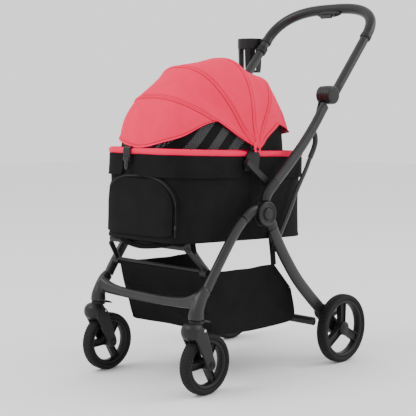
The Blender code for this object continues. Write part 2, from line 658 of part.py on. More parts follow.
def strut(suffix, sign):
    """Round bar between the rear leg and the knuckle arm, with a bent moulded end at the top."""
    x = sign * STRUT_X
    foot = (x, STRUT_FOOT_Y, STRUT_FOOT_Z)
    line = [(STRUT_FOOT_Y, STRUT_FOOT_Z), (0.0150, 0.4560), (0.0480, 0.5140), (0.0865, 0.5710), (0.1075,
            0.6070)]
    bar = tube("rear_strut_" + suffix, side_path(line, x, 3), 0.0050, 0.0070, FRAME_PAINT, sides=10,
            power=2.0,
               origin=foot)
    eye_lo, eye_hi = span(sign, STRUT_X - 0.0050, LAYER_IN - 0.0035)
    eye = turned("strut_eye_tool_" + suffix, [(eye_lo, 0), (eye_lo, 0.0095), (eye_hi, 0.0095), (eye_hi, 0)],
                 (0, STRUT_FOOT_Y, STRUT_FOOT_Z), FRAME_PAINT, sides=16)
    join(bar, eye)
    bend = side_path([(0.1063, 0.6056), (0.1230, 0.6330), (0.1300, 0.6560), (0.1240, 0.6760),
                      (STRUT_TOP_Y, STRUT_TOP_Z)], x, 3)
    join(bar, tube("strut_end_tool_" + suffix, bend, 0.0062, 0.0085, PLASTIC, sides=10, power=2.4))


def grip_fittings():
    """Release housing under the grip, its squeeze bar and the small safety button."""
    root = (0, KNOB_Y, KNOB_Z)
    a = STEM_ANGLE
    back = np.array((0, -math.cos(a), -math.sin(a)))
    down = np.array((0, math.sin(a), -math.cos(a)))
    middle = np.array(handle_line(GRIP_RISE, 0.0))

    def slanted(name, half_w, top_w, b0, b1, d0, d1, material, shift=0.0, **kw):
        """A tapering bar along X; b runs back down the handle, d square to the handle's plane."""
        rings = []
        for w in (-1, 1):
            ring = []
            for b, d, wide in ((b0, d0, top_w), (b0, d1, top_w), (b1, d1, half_w), (b1, d0, half_w)):
                ring.append(middle + back * b + down * d + np.array((w * wide + shift, 0, 0)))
            rings.append(ring)
        points, faces = rings_to_solid(rings)
        return new_piece(name, points, faces, material, origin=root, **kw)

    housing = slanted("release_housing", 0.030, 0.046, GRIP_R - 0.0040, GRIP_R + 0.0120, -0.0085, 0.0105,
            PLASTIC)
    room = tube("release_bar_tool", grip_path(0.0), GRIP_R + GAP, GRIP_R + GAP, PLASTIC,
                side=(0, -math.sin(a), math.cos(a)), sides=12, power=2.0)
    slot = slanted("squeeze_slot_tool", 0.0235, 0.0235, GRIP_R + 0.0040, GRIP_R + 0.0300, -0.0055,
            0.0055, PLASTIC, -0.004)
    well = slanted("safety_slot_tool", 0.0052, 0.0052, GRIP_R + 0.0050, GRIP_R + 0.0300, -0.0048, 0.0048,
            PLASTIC, 0.0265)
    cut(housing, room, slot, well)
    slanted("squeeze_bar", 0.0215, 0.0229, GRIP_R + 0.0090, GRIP_R + 0.0190, -0.0049, 0.0049, PLASTIC, -0.004)
    slanted("safety_button", 0.0040, 0.0046, GRIP_R + 0.0085, GRIP_R + 0.0150, -0.0042, 0.0042, PLASTIC,
            0.0265)


def cup_holder():
    """Open basket on a clamp round the left stem: top band, ribs and base."""
    z1, z0 = CUP_TOP, CUP_TOP - CUP_H
    wall = 0.003
    cup = upright("cup_holder", [(0, z0), (CUP_R * 0.86, z0), (CUP_R * 0.90, z0 + 0.004), (CUP_R * 0.97,
            z1 - 0.034),
                  (CUP_R, z1 - 0.031), (CUP_R, z1), (CUP_R - wall, z1), (CUP_R * 0.90 - wall, z0 + 0.006),
                  (0, z0 + 0.006)], (CUP_X, CUP_Y), 28, origin=(0, KNOB_Y, KNOB_Z))
    slots = []
    for k in range(6):
        a = math.radians(60 * k + 30)
        u, v = math.cos(a), math.sin(a)
        rings = []
        for r in (0.012, CUP_R + 0.01):
            ring = [(CUP_X + u * r - v * w, CUP_Y + v * r + u * w, z)
                    for w, z in ((-0.0085, z0 + 0.014), (0.0085, z0 + 0.014), (0.0085, z1 - 0.036),
                            (-0.0085, z1 - 0.036))]
            rings.append(ring)
        points, faces = rings_to_solid(rings)
        slots.append(new_piece(f"cup_slot_tool_{k}", points, faces, PLASTIC))
    cut(cup, *slots)
    along = np.array((0, math.cos(STEM_ANGLE), math.sin(STEM_ANGLE)))
    clamp_at = np.array(handle_line(-0.036, -FRAME_HALF))
    clamp = tube("cup_clamp_tool", [clamp_at - along * 0.011, clamp_at + along * 0.011], 0.0172, 0.0172,
            PLASTIC,
                 side=(1, 0, 0), sides=16, power=2.0)
    hole = tube("cup_clamp_hole_tool", [clamp_at - along * 0.05, clamp_at + along * 0.05], STEM_TUBE_R + GAP,
                STEM_TUBE_R + GAP, PLASTIC, side=(1, 0, 0), sides=12, power=2.0)
    neck = block("cup_neck_tool", (CUP_X + CUP_R - 0.0035, clamp_at[1] - 0.007, clamp_at[2] - 0.010),
                 (-FRAME_HALF - 0.004, clamp_at[1] + 0.007, clamp_at[2] + 0.010), PLASTIC)
    join(cup, neck, clamp)
    cut(cup, hole)


# ---------------------------------------------------------------- carrier


def plan(half_w, front, rear, count, power=PLAN_POWER):
    """Outline of the carrier from above: a superellipse, as (x, y) points."""
    t = np.linspace(0, 2 * math.pi, count, endpoint=False) + math.pi / count
    c, s = np.cos(t), np.sin(t)
    x = half_w * np.sign(c) * abs(c) ** (2 / power)
    y = (front + rear) / 2 + (rear - front) / 2 * np.sign(s) * abs(s) ** (2 / power)
    return np.stack([x, y], 1)


def carrier():
    """The lift-off tub, its padded rim ring, side hangers, front clip and front door."""
    top = -RIM_BELOW_PIN - RIM_R - GAP
    bottom = top - CARRIER_DEPTH
    count = 36
    rings = []
    for z, inset in ((bottom, 0.006), (bottom + 0.010, 0.0), (top, 0.0)):
        ring = plan(CARRIER_HALF_W - inset, CARRIER_FRONT + inset, CARRIER_REAR - inset, count)
        rings.append(np.column_stack([ring, np.full(count, z)]))
    wall = CARRIER_WALL
    for z in (top, bottom + 0.008):
        ring = plan(CARRIER_HALF_W - wall, CARRIER_FRONT + wall, CARRIER_REAR - wall, count)
        rings.append(np.column_stack([ring, np.full(count, z)]))
    points, faces = rings_to_solid(rings)
    body = new_piece("carrier_body", points, faces, BLACK_CLOTH, parent=TILT)

    loop = plan(CARRIER_HALF_W - 0.001, CARRIER_FRONT + 0.001, CARRIER_REAR - 0.001, 36, PLAN_POWER - 0.5)
    path = np.column_stack([loop, np.full(len(loop), -RIM_BELOW_PIN)])
    ring_points, ring_faces = [], []
    section = oval(RIM_R, RIM_R, 8)
    rows = sweep(path, section, (0, 0, 1), closed=True)
    for ring in rows:
        ring_points += [tuple(p) for p in ring]
    n, m = len(rows), len(section)
    for k in range(n):
        for i in range(m):
            j, q = (i + 1) % m, (k + 1) % n
            ring_faces.append((k * m + i, k * m + j, q * m + j, q * m + i))
    new_piece("rim_ring", ring_points, ring_faces, PINK_CLOTH, parent=TILT)

    for suffix, sign in sides_of_frame():
        lo, hi = span(sign, HANGER_IN, HANGER_OUT)
        hanger = plate("carrier_hanger_" + suffix,
                       [(-0.036, -0.060), (0.018, -0.060), (0.024, -0.020), (0.012, 0.006), (0.0,
                               0.0125), (-0.012, 0.006),
                        (-0.030, -0.020)], lo, hi, PLASTIC, parent=TILT)
        lo, hi = span(sign, CARRIER_HALF_W + GAP, HANGER_IN + 0.001)
        foot = plate("hanger_foot_tool_" + suffix, [(-0.030, -0.058), (0.014, -0.058), (0.014, -0.030),
                (-0.030, -0.030)],
                     lo, hi, PLASTIC, parent=TILT)
        lo, hi = span(sign, HANGER_OUT - 0.001, LAYER_IN - 0.0040)
        hook = plate("hanger_hook_tool_" + suffix,
                     arc(-0.030, -0.040, 0.0125, 200, 44, 8)
                     + arc(-0.030, -0.040, 0.0082 + GAP, 44, 200, 8), lo, hi, PLASTIC, parent=TILT)
        join(hanger, hook, foot)
        lo, hi = span(sign, HANGER_OUT - 0.002, HANGER_OUT + 0.0095)
        pin = turned("bow_pin_tool_" + suffix, [(lo, 0), (lo, 0.0030), (hi, 0.0030), (hi, 0)], (0, 0, 0),
                STEEL, sides=12,
                     parent=TILT)
        join(hanger, pin)

    front_y = CARRIER_FRONT
    clip = block("front_clip", (CLIP_X - 0.014, front_y - 0.0125, -0.050), (CLIP_X + 0.014,
            front_y - 0.0095, 0.002), PLASTIC, parent=TILT)
    hook = block("clip_hook_tool", (CLIP_X - 0.014, front_y - 0.0125, -0.001), (CLIP_X + 0.014,
            front_y + 0.0015, 0.002), PLASTIC,
                 parent=TILT)
    join(clip, hook)
    xs = np.linspace(-DOOR_HALF_W, DOOR_HALF_W, 13)
    tops = [-0.140 + 0.060 * max(0.0, 1 - abs(x / DOOR_HALF_W) ** 3) ** 0.5 for x in xs]
    grid = []
    for x, z_top in zip(xs, tops):
        grid.append([(x, on_front(x) - 0.0018, bottom + 0.012), (x, on_front(x) - 0.0048, bottom + 0.012),
                     (x, on_front(x) - 0.0048, z_top), (x, on_front(x) - 0.0018, z_top)])
    door_points, door_faces = rings_to_solid(grid)
    return new_piece("front_door", door_points, door_faces, BLACK_CLOTH, parent=TILT,
                     origin=(0, on_front(0), bottom + 0.012))


def on_front(x):
    """How far forward the carrier's front wall stands at x, from the rivets."""
    middle, half = (CARRIER_FRONT + CARRIER_REAR) / 2, (CARRIER_REAR - CARRIER_FRONT) / 2
    return middle - half * (1 - abs(x / CARRIER_HALF_W) ** PLAN_POWER) ** (1 / PLAN_POWER)


def hangers_arms(suffix, sign):
    """Flat arm fixed to the upper elbow; the carrier hooks over the peg at its top end."""
    tilt = Matrix.Rotation(-CARRIER_NOSE_UP, 4, "X")
    peg = tilt @ Vector((0, -0.030, -0.040)) + Vector((0, PIN_Y, PIN_Z))
    lo, hi = span(sign, HANGER_OUT + 0.0008, LAYER_IN - 0.0055)
    arm = plate("carrier_arm_" + suffix, slab(peg.y, peg.z, 0.0080, -0.0800, 0.5400, 0.0095), lo, hi,
            FRAME_PAINT)
    foot_lo, foot_hi = span(sign, FRAME_HALF - TUBE_THICK / 2 - 0.0058,
            FRAME_HALF - TUBE_THICK / 2 - 0.0008 - GAP)
    foot = turned("arm_foot_tool_" + suffix, [(foot_lo, 0), (foot_lo, 0.0085), (foot_hi, 0.0085),
            (foot_hi, 0)],
                  (0, -0.0820, 0.5410), FRAME_PAINT, sides=16)
    join(arm, foot)


def bow_radius(phi):
    """Length of the canopy from the rivets at phi degrees above straight ahead."""
    return float(np.interp(phi, (0, 4, 30, 60, 95, 125, 152), (0.272, 0.272, 0.270, 0.255, 0.253, 0.256,
            0.268)))


def canopy_point(phi, t, shrink, flare=0.022):
    """A point of the canopy: phi turns it round the rivets, t goes from one side over to the other.
    Each bow is a superellipse whose legs flare out to the rivets."""
    half_w = float(np.interp(phi, (0, 60, 95), (0.1575, 0.1575, 0.1660))) - shrink
    power = float(np.interp(phi, (4, 30, 60), (3.4, 2.5, 2.4)))
    c, s = math.cos(t), math.sin(t)
    along = (bow_radius(phi) - shrink) * abs(s) ** (2 / power)
    x = math.copysign(half_w * abs(c) ** (2 / power) + flare * math.exp(-(along / 0.045) ** 2), c)
    a = math.radians(phi)
    return (x, -along * math.cos(a), along * math.sin(a))


def canopy():
    """Three flat steel bows on the rivets and the cloth that they carry."""
    legs = 0.065
    for k, (name, phi) in enumerate((("bow_front", 30), ("bow_middle", 60), ("bow_top", 95))):
        inside = HANGER_OUT + 0.0006 + 0.0026 * k
        nest = 0.0023 * (2 - k)
        path = [np.array(canopy_point(phi, t, 0.0065 + nest, 0.012)) for t in np.linspace(legs,
                math.pi - legs, 17)]
        a = math.radians(phi)
        out = np.array((0, -math.cos(a), math.sin(a)))
        leg = [(inside + 0.0010, -0.007), (inside + 0.0010, 0.017), (CARRIER_HALF_W + 0.0100 - nest, 0.032)]
        first = [np.array((w, 0, 0)) + out * d for w, d in leg]
        last = [np.array((-w, 0, 0)) + out * d for w, d in leg[::-1]]
        path = first + [p for p in path if p @ out > 0.06] + last
        flat = np.array((0, math.sin(a), math.cos(a)))
        section = np.array([(-0.0035, -0.0009), (0.0035, -0.0009), (0.0035, 0.0009), (-0.0035, 0.0009)])
        points, faces = rings_to_solid(sweep(path, section, flat))
        bow = new_piece(name, points, faces, STEEL, parent=TILT)
        hole = turned(name + "_hole_tool", [(-0.2, 0), (-0.2, 0.0030 + GAP), (0.2, 0.0030 + GAP), (0.2,
                0)], (0, 0, 0),
                      STEEL, sides=12, parent=TILT)
        cut(bow, hole)

    rows, cols = 11, 21
    turns = np.linspace(0.10, math.pi - 0.10, cols)
    outer, inner = [], []
    for t in turns:
        side = abs(math.cos(t))
        ease = min(1.0, max(0.0, (side - 0.50) / 0.42))
        low = 2 + 27.5 * ease * ease * (3 - 2 * ease)
        for phi in np.linspace(low, 152, rows):
            outer.append(canopy_point(phi, t, 0.0))
            inner.append(canopy_point(phi, t, 0.0020))
    base = len(outer)
    points = outer + inner
    faces = []
    for i in range(cols - 1):
        for j in range(rows - 1):
            a, b, c, d = i * rows + j, (i + 1) * rows + j, (i + 1) * rows + j + 1, i * rows + j + 1
            faces += [(a, b, c, d), (base + a, base + d, base + c, base + b)]
    for i in range(cols - 1):
        for j in (0, rows - 1):
            a, b = i * rows + j, (i + 1) * rows + j
            faces.append((a, b, base + b, base + a))
    for i in (0, cols - 1):
        for j in range(rows - 1):
            a, b = i * rows + j, i * rows + j + 1
            faces.append((a, b, base + b, base + a))
    return new_piece("canopy_cloth", points, faces, PINK_CLOTH, parent=TILT)


# ---------------------------------------------------------------- under the carrier


def carrier_floor_z(y):
    """Height of the carrier's underside at y."""
    depth = RIM_BELOW_PIN + RIM_R + GAP + CARRIER_DEPTH
    return PIN_Z - depth * math.cos(CARRIER_NOSE_UP) - (y - PIN_Y) * math.tan(CARRIER_NOSE_UP)


def front_support():
    """Bar under the carrier's front with a link down to a boss inside each front leg."""
    y, r = -0.372, 0.0085
    z = carrier_floor_z(y) - r - 0.0012
    bar = tube("front_support", [(-0.150, y, z), (0, y, z), (0.150, y, z)], r, r, FRAME_PAINT, side=(0,
            1, 0), sides=12,
               power=2.0)
    tools = []
    for suffix, sign in sides_of_frame():
        foot = (-0.3290, 0.3170)
        path = [(sign * 0.143, y, z), (sign * 0.158, y + 0.004, z - 0.012), (sign * 0.1720,
                foot[0] - 0.006, foot[1] + 0.016),
                (sign * 0.1760, foot[0], foot[1])]
        tools.append(tube("support_link_tool_" + suffix, path, 0.0075, 0.0045, FRAME_PAINT, side=(0, 1,
                0), sides=10))
        lo, hi = span(sign, BOSS_IN, LAYER_IN - GAP)
        tools.append(turned("support_boss_tool_" + suffix, [(lo, 0), (lo, 0.0100), (hi, 0.0100), (hi, 0)],
                            (0, *foot), FRAME_PAINT, sides=16))
    return join(bar, *tools)


def basket():
    """Sling basket under the carrier, open at the top, and the rod along its front edge."""
    outer = [(-0.3300, 0.3150), (-0.3000, 0.2000), (-0.2880, 0.1480), (-0.1600, 0.1310), (0.0300,
            0.1330), (0.0560, 0.1480),
             (0.0370, 0.2320), (-0.0370, 0.3130)]
    body = plate("basket", outer, -BASKET_HALF_W, BASKET_HALF_W, BLACK_CLOTH)
    inner = [(-0.3225, 0.3400), (-0.2960, 0.2000), (-0.2845, 0.1515), (-0.1600, 0.1345), (0.0300,
            0.1365), (0.0520, 0.1490),
             (0.0330, 0.2320), (-0.0470, 0.3400)]
    hollow = plate("basket_hollow_tool", inner, -BASKET_HALF_W + 0.0035, BASKET_HALF_W - 0.0035, BLACK_CLOTH)
    cut(body, hollow)
    y, z, r = -0.3335, 0.3230, 0.0050
    rod = tube("basket_rod", [(-BOSS_IN + GAP, y, z), (0, y, z), (BOSS_IN - GAP, y, z)], r, r, FRAME_PAINT,
               side=(0, 1, 0), sides=10, power=2.0)
    return rod


def rear_cross_tube():
    """Flat oval tube between the rear wheel brackets, and the foot brake pivoted on it."""
    y, z = CROSS_TUBE_Y, CROSS_TUBE_Z
    half = LAYER_IN - 0.002 - GAP
    root = (0, HUB_Y, HUB_Z)
    tube("rear_cross_tube", [(-half, y, z), (0, y, z), (half, y, z)], 0.0095, 0.0125, FRAME_PAINT,
            side=(0, 1, 0),
         sides=12, origin=root)
    pivot_y, pivot_z = REAR_AXLE_Y + 0.012, REAR_WHEEL_R + 0.030
    outline = slab(pivot_y, pivot_z, 0.0070, pivot_y + 0.036, pivot_z + 0.010, 0.0045)
    lo = LAYER_IN - 0.002
    pedal = plate("brake_pedal", outline, lo - 0.052, lo - 0.0012, PLASTIC, origin=(lo, pivot_y, pivot_z))
    return pedal


for side_name, side_sign in sides_of_frame():
    front_frame(side_name, side_sign)
    rear_frame(side_name, side_sign)
    caster(side_name, side_sign)
    strut(side_name, side_sign)
    hangers_arms(side_name, side_sign)
    wheel = (side_sign * REAR_HALF_TRACK, REAR_AXLE_Y, REAR_WHEEL_R)
    tyre("rear_tyre_" + side_name, wheel, REAR_WHEEL_R, REAR_WHEEL_W)
    rim("rear_rim_" + side_name, wheel, REAR_WHEEL_R, REAR_WHEEL_W, 0.0165, 0.0135, 0.0075)
front_crossbar()
rear_cross_tube()
handle()
grip_fittings()
cup_holder()
carrier()
canopy()
front_support()
basket()
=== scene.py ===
import math

import bmesh
import bpy
import numpy as np
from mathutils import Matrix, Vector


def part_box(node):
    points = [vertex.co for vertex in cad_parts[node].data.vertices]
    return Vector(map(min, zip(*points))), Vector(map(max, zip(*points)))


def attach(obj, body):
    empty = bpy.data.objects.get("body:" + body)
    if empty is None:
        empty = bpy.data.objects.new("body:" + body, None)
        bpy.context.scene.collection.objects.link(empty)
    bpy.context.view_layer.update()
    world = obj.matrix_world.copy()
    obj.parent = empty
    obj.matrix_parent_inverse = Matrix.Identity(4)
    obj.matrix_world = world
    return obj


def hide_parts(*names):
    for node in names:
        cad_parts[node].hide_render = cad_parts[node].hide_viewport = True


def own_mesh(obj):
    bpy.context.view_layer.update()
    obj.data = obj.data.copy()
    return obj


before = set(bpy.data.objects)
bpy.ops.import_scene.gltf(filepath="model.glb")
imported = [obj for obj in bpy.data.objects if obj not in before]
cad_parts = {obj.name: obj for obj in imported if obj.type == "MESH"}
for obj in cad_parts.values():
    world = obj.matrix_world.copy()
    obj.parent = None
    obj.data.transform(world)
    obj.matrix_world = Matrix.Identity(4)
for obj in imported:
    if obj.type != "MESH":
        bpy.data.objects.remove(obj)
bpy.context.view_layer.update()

# ---- Studio ---------------------------------------------------------------------------------
# A pale floor, white surroundings, one large soft lamp high on the left and a long low one
# behind it on the right, as for a catalogue picture of a black frame.
crossbar_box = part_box("front_crossbar")
tyre_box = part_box("front_tyre_right")
SHIFT = np.array(((crossbar_box[0][0] + crossbar_box[1][0]) / 2, (tyre_box[0][1] + tyre_box[1][1]) / 2
    + 0.3515, 0))

floor_mesh = bpy.data.meshes.new("floor")
floor_mesh.from_pydata([(-9, -9, 0), (9, -9, 0), (9, 9, 0), (-9, 9, 0)], [], [(0, 1, 2, 3)])
floor = bpy.data.objects.new("floor", floor_mesh)
bpy.context.scene.collection.objects.link(floor)
floor_paint = bpy.data.materials.new("studio_floor")
floor_paint.use_nodes = True
floor_shader = floor_paint.node_tree.nodes["Principled BSDF"]
floor_shader.inputs["Base Color"].default_value = (0.93, 0.93, 0.93, 1)
floor_shader.inputs["Roughness"].default_value = 0.9
floor_shader.inputs["Specular IOR Level"].default_value = 0.1
floor_mesh.materials.append(floor_paint)

world = bpy.data.worlds.new("studio")
bpy.context.scene.world = world
world.use_nodes = True
world.node_tree.nodes["Background"].inputs[0].default_value = (1, 1, 1, 1)
world.node_tree.nodes["Background"].inputs[1].default_value = 1.35


def lamp(name, place, aim, size, power):
    """A square area lamp at `place`, turned so that it shines at `aim`."""
    light = bpy.data.lights.new(name, "AREA")
    light.size = size
    light.energy = power
    obj = bpy.data.objects.new(name, light)
    bpy.context.scene.collection.objects.link(obj)
    obj.location = place
    away = obj.location - type(obj.location)(aim)
    obj.rotation_euler = away.to_track_quat("Z", "Y").to_euler()


lamp("key", (-0.9, -2.4, 3.0), (0, 0, 0.5), 1.8, 60)
lamp("rear", (2.2, 2.2, 2.2), (0, 0, 0.5), 1.6, 40)

camera = bpy.data.objects.new("camera", bpy.data.cameras.new("camera"))
bpy.context.scene.collection.objects.link(camera)
bpy.context.scene.camera = camera
camera.location = np.array((2.1481, -2.3129, 0.7639)) + SHIFT
camera.rotation_euler = (math.radians(90 - 5.593), 0, math.radians(44.66))
camera.data.lens = 93.02
camera.data.sensor_width = 36

# ---- Rubber tyres ---------------------------------------------------------------------------
# Solid foam-filled tyres. Each is a turned ring whose tread has two staggered rows of small
# slanted blocks, pressed deeper between the blocks than on their tops.


def node(tree, kind, sockets=(), **settings):
    """A shader node; each socket takes a value, or the output that it is linked to."""
    made = tree.nodes.new("ShaderNode" + kind)
    for name, value in settings.items():
        setattr(made, name, value)
    for name, value in dict(sockets).items():
        if isinstance(value, bpy.types.NodeSocket):
            tree.links.new(value, made.inputs[name])
        else:
            made.inputs[name].default_value = value
    return made


def calc(tree, operation, first, second=0.0, third=0.0):
    """One step of arithmetic between values or outputs."""
    return node(tree, "Math", {0: first, 1: second, 2: third}, operation=operation).outputs[0]


def effect(name, inputs, outputs):
    """An empty shader node group with named sockets; returns its tree, its input and its output node."""
    tree = bpy.data.node_groups.new(name, "ShaderNodeTree")
    for key, kind, value in inputs:
        made = tree.interface.new_socket(key, in_out="INPUT", socket_type="NodeSocket" + kind)
        if value is not None:
            made.default_value = value
    for key, kind in outputs:
        tree.interface.new_socket(key, in_out="OUTPUT", socket_type="NodeSocket" + kind)
    return tree, tree.nodes.new("NodeGroupInput"), tree.nodes.new("NodeGroupOutput")


def use(tree, group, **sockets):
    """A node group placed in a material, with its own values."""
    return node(tree, "Group", sockets, node_tree=group).outputs


def finish_of(name, **sockets):
    """A new material; plain values go straight to the shader's own sockets."""
    material = bpy.data.materials.new(name)
    material.use_nodes = True
    shader = material.node_tree.nodes["Principled BSDF"]
    for key, value in sockets.items():
        shader.inputs[key.replace("_", " ")].default_value = value
    return material, material.node_tree, shader


def mixed(tree, share, first, second):
    """Two colours mixed by a share."""
    return node(tree, "Mix", {0: share, 6: first, 7: second}, data_type="RGBA").outputs[2]


def bump(tree, height, strength, distance):
    """A normal from a height."""
    return node(tree, "Bump", {"Height": height, "Strength": strength,
        "Distance": distance}).outputs["Normal"]


# grain: fine pits and slow cloudiness of moulded, painted or rubber surfaces
grain, g_in, g_out = effect("grain", [("Pits per metre", "Float", 900.0), ("Cloud per metre", "Float",
    14.0)], [("Height", "Float"), ("Cloud", "Float")])
spot = node(grain, "TexCoord").outputs["Object"]
pits = node(grain, "TexNoise", {"Vector": spot, "Scale": g_in.outputs[0], "Detail": 2.0})
cloud = node(grain, "TexNoise", {"Vector": spot, "Scale": g_in.outputs[1], "Detail": 4.0, "Roughness": 0.6})
grain.links.new(pits.outputs["Fac"], g_out.inputs["Height"])
grain.links.new(cloud.outputs["Fac"], g_out.inputs["Cloud"])

# edge rub: where a convex edge has been polished by handling
edge_rub, r_in, r_out = effect("edge_rub", [("Breadth", "Float", 0.06)], [("Mask", "Float")])
sharp = node(edge_rub, "NewGeometry").outputs["Pointiness"]
broken = node(edge_rub, "TexNoise", {"Vector": node(edge_rub, "TexCoord").outputs["Object"], "Scale": 90.0,
    "Detail": 3.0})
over = calc(edge_rub, "SUBTRACT", sharp, 0.5)
over = calc(edge_rub, "DIVIDE", over, r_in.outputs[0])
over = calc(edge_rub, "MULTIPLY", over, broken.outputs["Fac"])
edge_rub.links.new(node(edge_rub, "Clamp", {"Value": over}).outputs[0], r_out.inputs["Mask"])


def moulded(name, dark, light, rough, pits_depth, pits_scale=900.0, **sockets):
    """A matt surface between two tones, with fine pits, cloudy roughness and lighter rubbed edges."""
    material, tree, shader = finish_of(name, **sockets)
    skin = use(tree, grain, **{"Pits per metre": pits_scale})
    rub = use(tree, edge_rub)["Mask"]
    share = calc(tree, "MULTIPLY_ADD", rub, 0.6, calc(tree, "MULTIPLY", skin["Cloud"], 0.5))
    tree.links.new(mixed(tree, share, (*dark, 1), (*light, 1)), shader.inputs["Base Color"])
    gloss = calc(tree, "MULTIPLY_ADD", skin["Cloud"], 0.16, rough - 0.08)
    tree.links.new(gloss, shader.inputs["Roughness"])
    tree.links.new(bump(tree, skin["Height"], 0.5, pits_depth), shader.inputs["Normal"])
    return material


TYRE_RUBBER = moulded("tyre_rubber", (0.003, 0.003, 0.003), (0.012, 0.012, 0.012), 0.66, 0.0004, 500.0,
    Specular_IOR_Level=0.22)


def piece(name, grids, material, body, stands_for=(), angle=45, seams=None):
    """One object from grids of points (rows, columns, 3); each grid says if it closes along its
    rows and its columns. The UV map holds the lengths along both, in metres; seams is a mask of the
    stitched lines, one value to a point, for the materials that read it."""
    points, faces, maps, base = [], [], [], 0
    for grid, loop_u, loop_v in grids:
        n, m = grid.shape[:2]
        i, j = np.meshgrid(np.arange(n - 1 + loop_u), np.arange(m - 1 + loop_v), indexing="ij")
        corners = [(i, j), (i + 1, j), (i + 1, j + 1), (i, j + 1)]
        faces.append(np.stack([base + (a % n) * m + b % m for a, b in corners], -1).reshape(-1, 4))
        ring = np.concatenate([grid, grid[:1]]) if loop_u else grid
        ring = np.concatenate([ring, ring[:, :1]], 1) if loop_v else ring
        u = np.append(0, np.linalg.norm(np.diff(ring, axis=0), axis=2).mean(1).cumsum())
        v = np.append(0, np.linalg.norm(np.diff(ring, axis=1), axis=2).mean(0).cumsum())
        maps.append(np.stack([np.stack([u[a], v[b]], -1) for a, b in corners], 2).reshape(-1, 2))
        points.append(grid.reshape(-1, 3))
        base += n * m
    mesh = bpy.data.meshes.new(name)
    mesh.from_pydata((np.concatenate(points) + SHIFT).tolist(), [], np.concatenate(faces).tolist())
    mesh.uv_layers.new(name="lengths").data.foreach_set("uv", np.concatenate(maps).ravel())
    if seams is not None:
        mesh.attributes.new("seam", "FLOAT", "POINT").data.foreach_set("value", np.ascontiguousarray(seams,
            np.float32).ravel())
    bm = bmesh.new()
    bm.from_mesh(mesh)
    bmesh.ops.remove_doubles(bm, verts=bm.verts, dist=2e-6)
    bmesh.ops.dissolve_degenerate(bm, edges=bm.edges, dist=1e-6)
    bmesh.ops.recalc_face_normals(bm, faces=bm.faces)
    bm.to_mesh(mesh)
    bm.free()
    mesh.shade_smooth()
    mesh.set_sharp_from_angle(angle=math.radians(angle))
    mesh.materials.append(material)
    obj = bpy.data.objects.new(name, mesh)
    bpy.context.scene.collection.objects.link(obj)
    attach(obj, body)
    if stands_for:
        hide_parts(*stands_for)
    return obj


def spun(profile, centre, sides=96, start=0.0):
    """A grid turned round a line along X through `centre`: rows run (x, radius), columns run
    round the line at (radius cos a, radius sin a)."""
    p = np.array(profile, float)
    a = np.linspace(0, 2 * math.pi, sides, endpoint=False) + start
    x = np.broadcast_to(p[:, :1], (len(p), sides))
    grid = np.stack([x, p[:, 1:] * np.cos(a), p[:, 1:] * np.sin(a)], -1)
    return grid + np.array(centre), False, True


def drum(a, b, radius, centre, sides, edge=0.0, steps=5):
    """A closed cylinder along X from a to b, its two edges rounded by `edge`."""
    corners = [(a, 0), (a, radius), (b, radius), (b, 0)]
    return spun(rounded_profile(corners, edge, steps) if edge else corners, centre, sides)


def rounded_profile(corners, radius, steps=5):
    """A profile whose inner corners are rounded: each corner is a quadratic curve that starts and
    ends `radius` away from it along its two sides."""
    c = np.array(corners, float)
    out = [c[:1]]
    t = np.linspace(0, 1, steps)[:, None]
    for a, b, d in zip(c[:-2], c[1:-1], c[2:]):
        r = min(radius, 0.45 * np.linalg.norm(a - b), 0.45 * np.linalg.norm(d - b))
        p = b + (a - b) * r / np.linalg.norm(a - b)
        q = b + (d - b) * r / np.linalg.norm(d - b)
        out.append((1 - t) ** 2 * p + 2 * t * (1 - t) * b + t ** 2 * q)
    out.append(c[-1:])
    return np.concatenate(out)


def both_ways(half, start, top):
    """A closed profile: `start`, the half's points mirrored, `top`, the points back, and `start`."""
    return [start, *((-x, r) for x, r in half), top, *half[::-1], start]


SIDES = (("right", 1), ("left", -1))
FRAME_X = 0.198
REAR_AXLE, FRONT_AXLE = (0.192, 0.101), (-0.3515, 0.0825)
WHEELS = []
for side, s in SIDES:
    WHEELS.append(("rear", side, (s * 0.227, *REAR_AXLE), REAR_AXLE[1], 0.034, s))
    WHEELS.append(("front", side, (s * FRAME_X, *FRONT_AXLE), FRONT_AXLE[1], 0.034, s))

for where, side, centre, radius, width, s in WHEELS:
    h = width / 2
    half = [(h * 0.6, radius - 0.018), (h * 0.8, radius - 0.0165), (h * 0.98, radius - 0.01),
        (h * 0.92, radius - 0.0045), (h * 0.62, radius - 0.0008)]
    ring = rounded_profile(both_ways(half, (0, radius - 0.018), (0, radius)), 0.004, 4)
    ring = np.concatenate([np.linspace(a, b, 3, endpoint=False) for a, b in zip(ring[:-1], ring[1:])])
    grid, _, _ = spun(ring, (0, 0, 0), 384)
    turn = np.linspace(0, 2 * math.pi, 384, endpoint=False)[None, :]
    across = grid[..., 0] / h
    out = np.hypot(grid[..., 1], grid[..., 2])
    blocks = round(2 * math.pi * radius / 0.0088)
    slant = np.where(across > 0, 1, -1)
    wave = np.sin(blocks * turn + slant * across * 5.5 + (across > 0) * math.pi)
    tread = np.clip((out - (radius - 0.0062)) / 0.003, 0, 1)
    middle = np.clip(1 - np.abs(np.abs(across) - 0.07) / 0.06, 0, 1) * 0.5
    cut = np.clip(0.5 - 2.4 * wave, 0, 1) * np.clip((np.abs(across) - 0.1) / 0.06, 0, 1) + middle
    far = np.maximum(out, 1e-6)
    drop = 1 - 0.0013 * tread * np.clip(cut, 0, 1) / far
    shoulder = 1 - 0.0004 * np.clip(1 - np.abs(out - (radius - 0.0085)) / 0.0012, 0, 1) / far
    grid[..., 1:] *= (drop * shoulder)[..., None]
    piece(f"{where}_tyre_skin_{side}", [(grid + np.array(centre), True, True)], TYRE_RUBBER,
        f"{where}_wheel_{side}", [f"{where}_tyre_{side}"], angle=60)

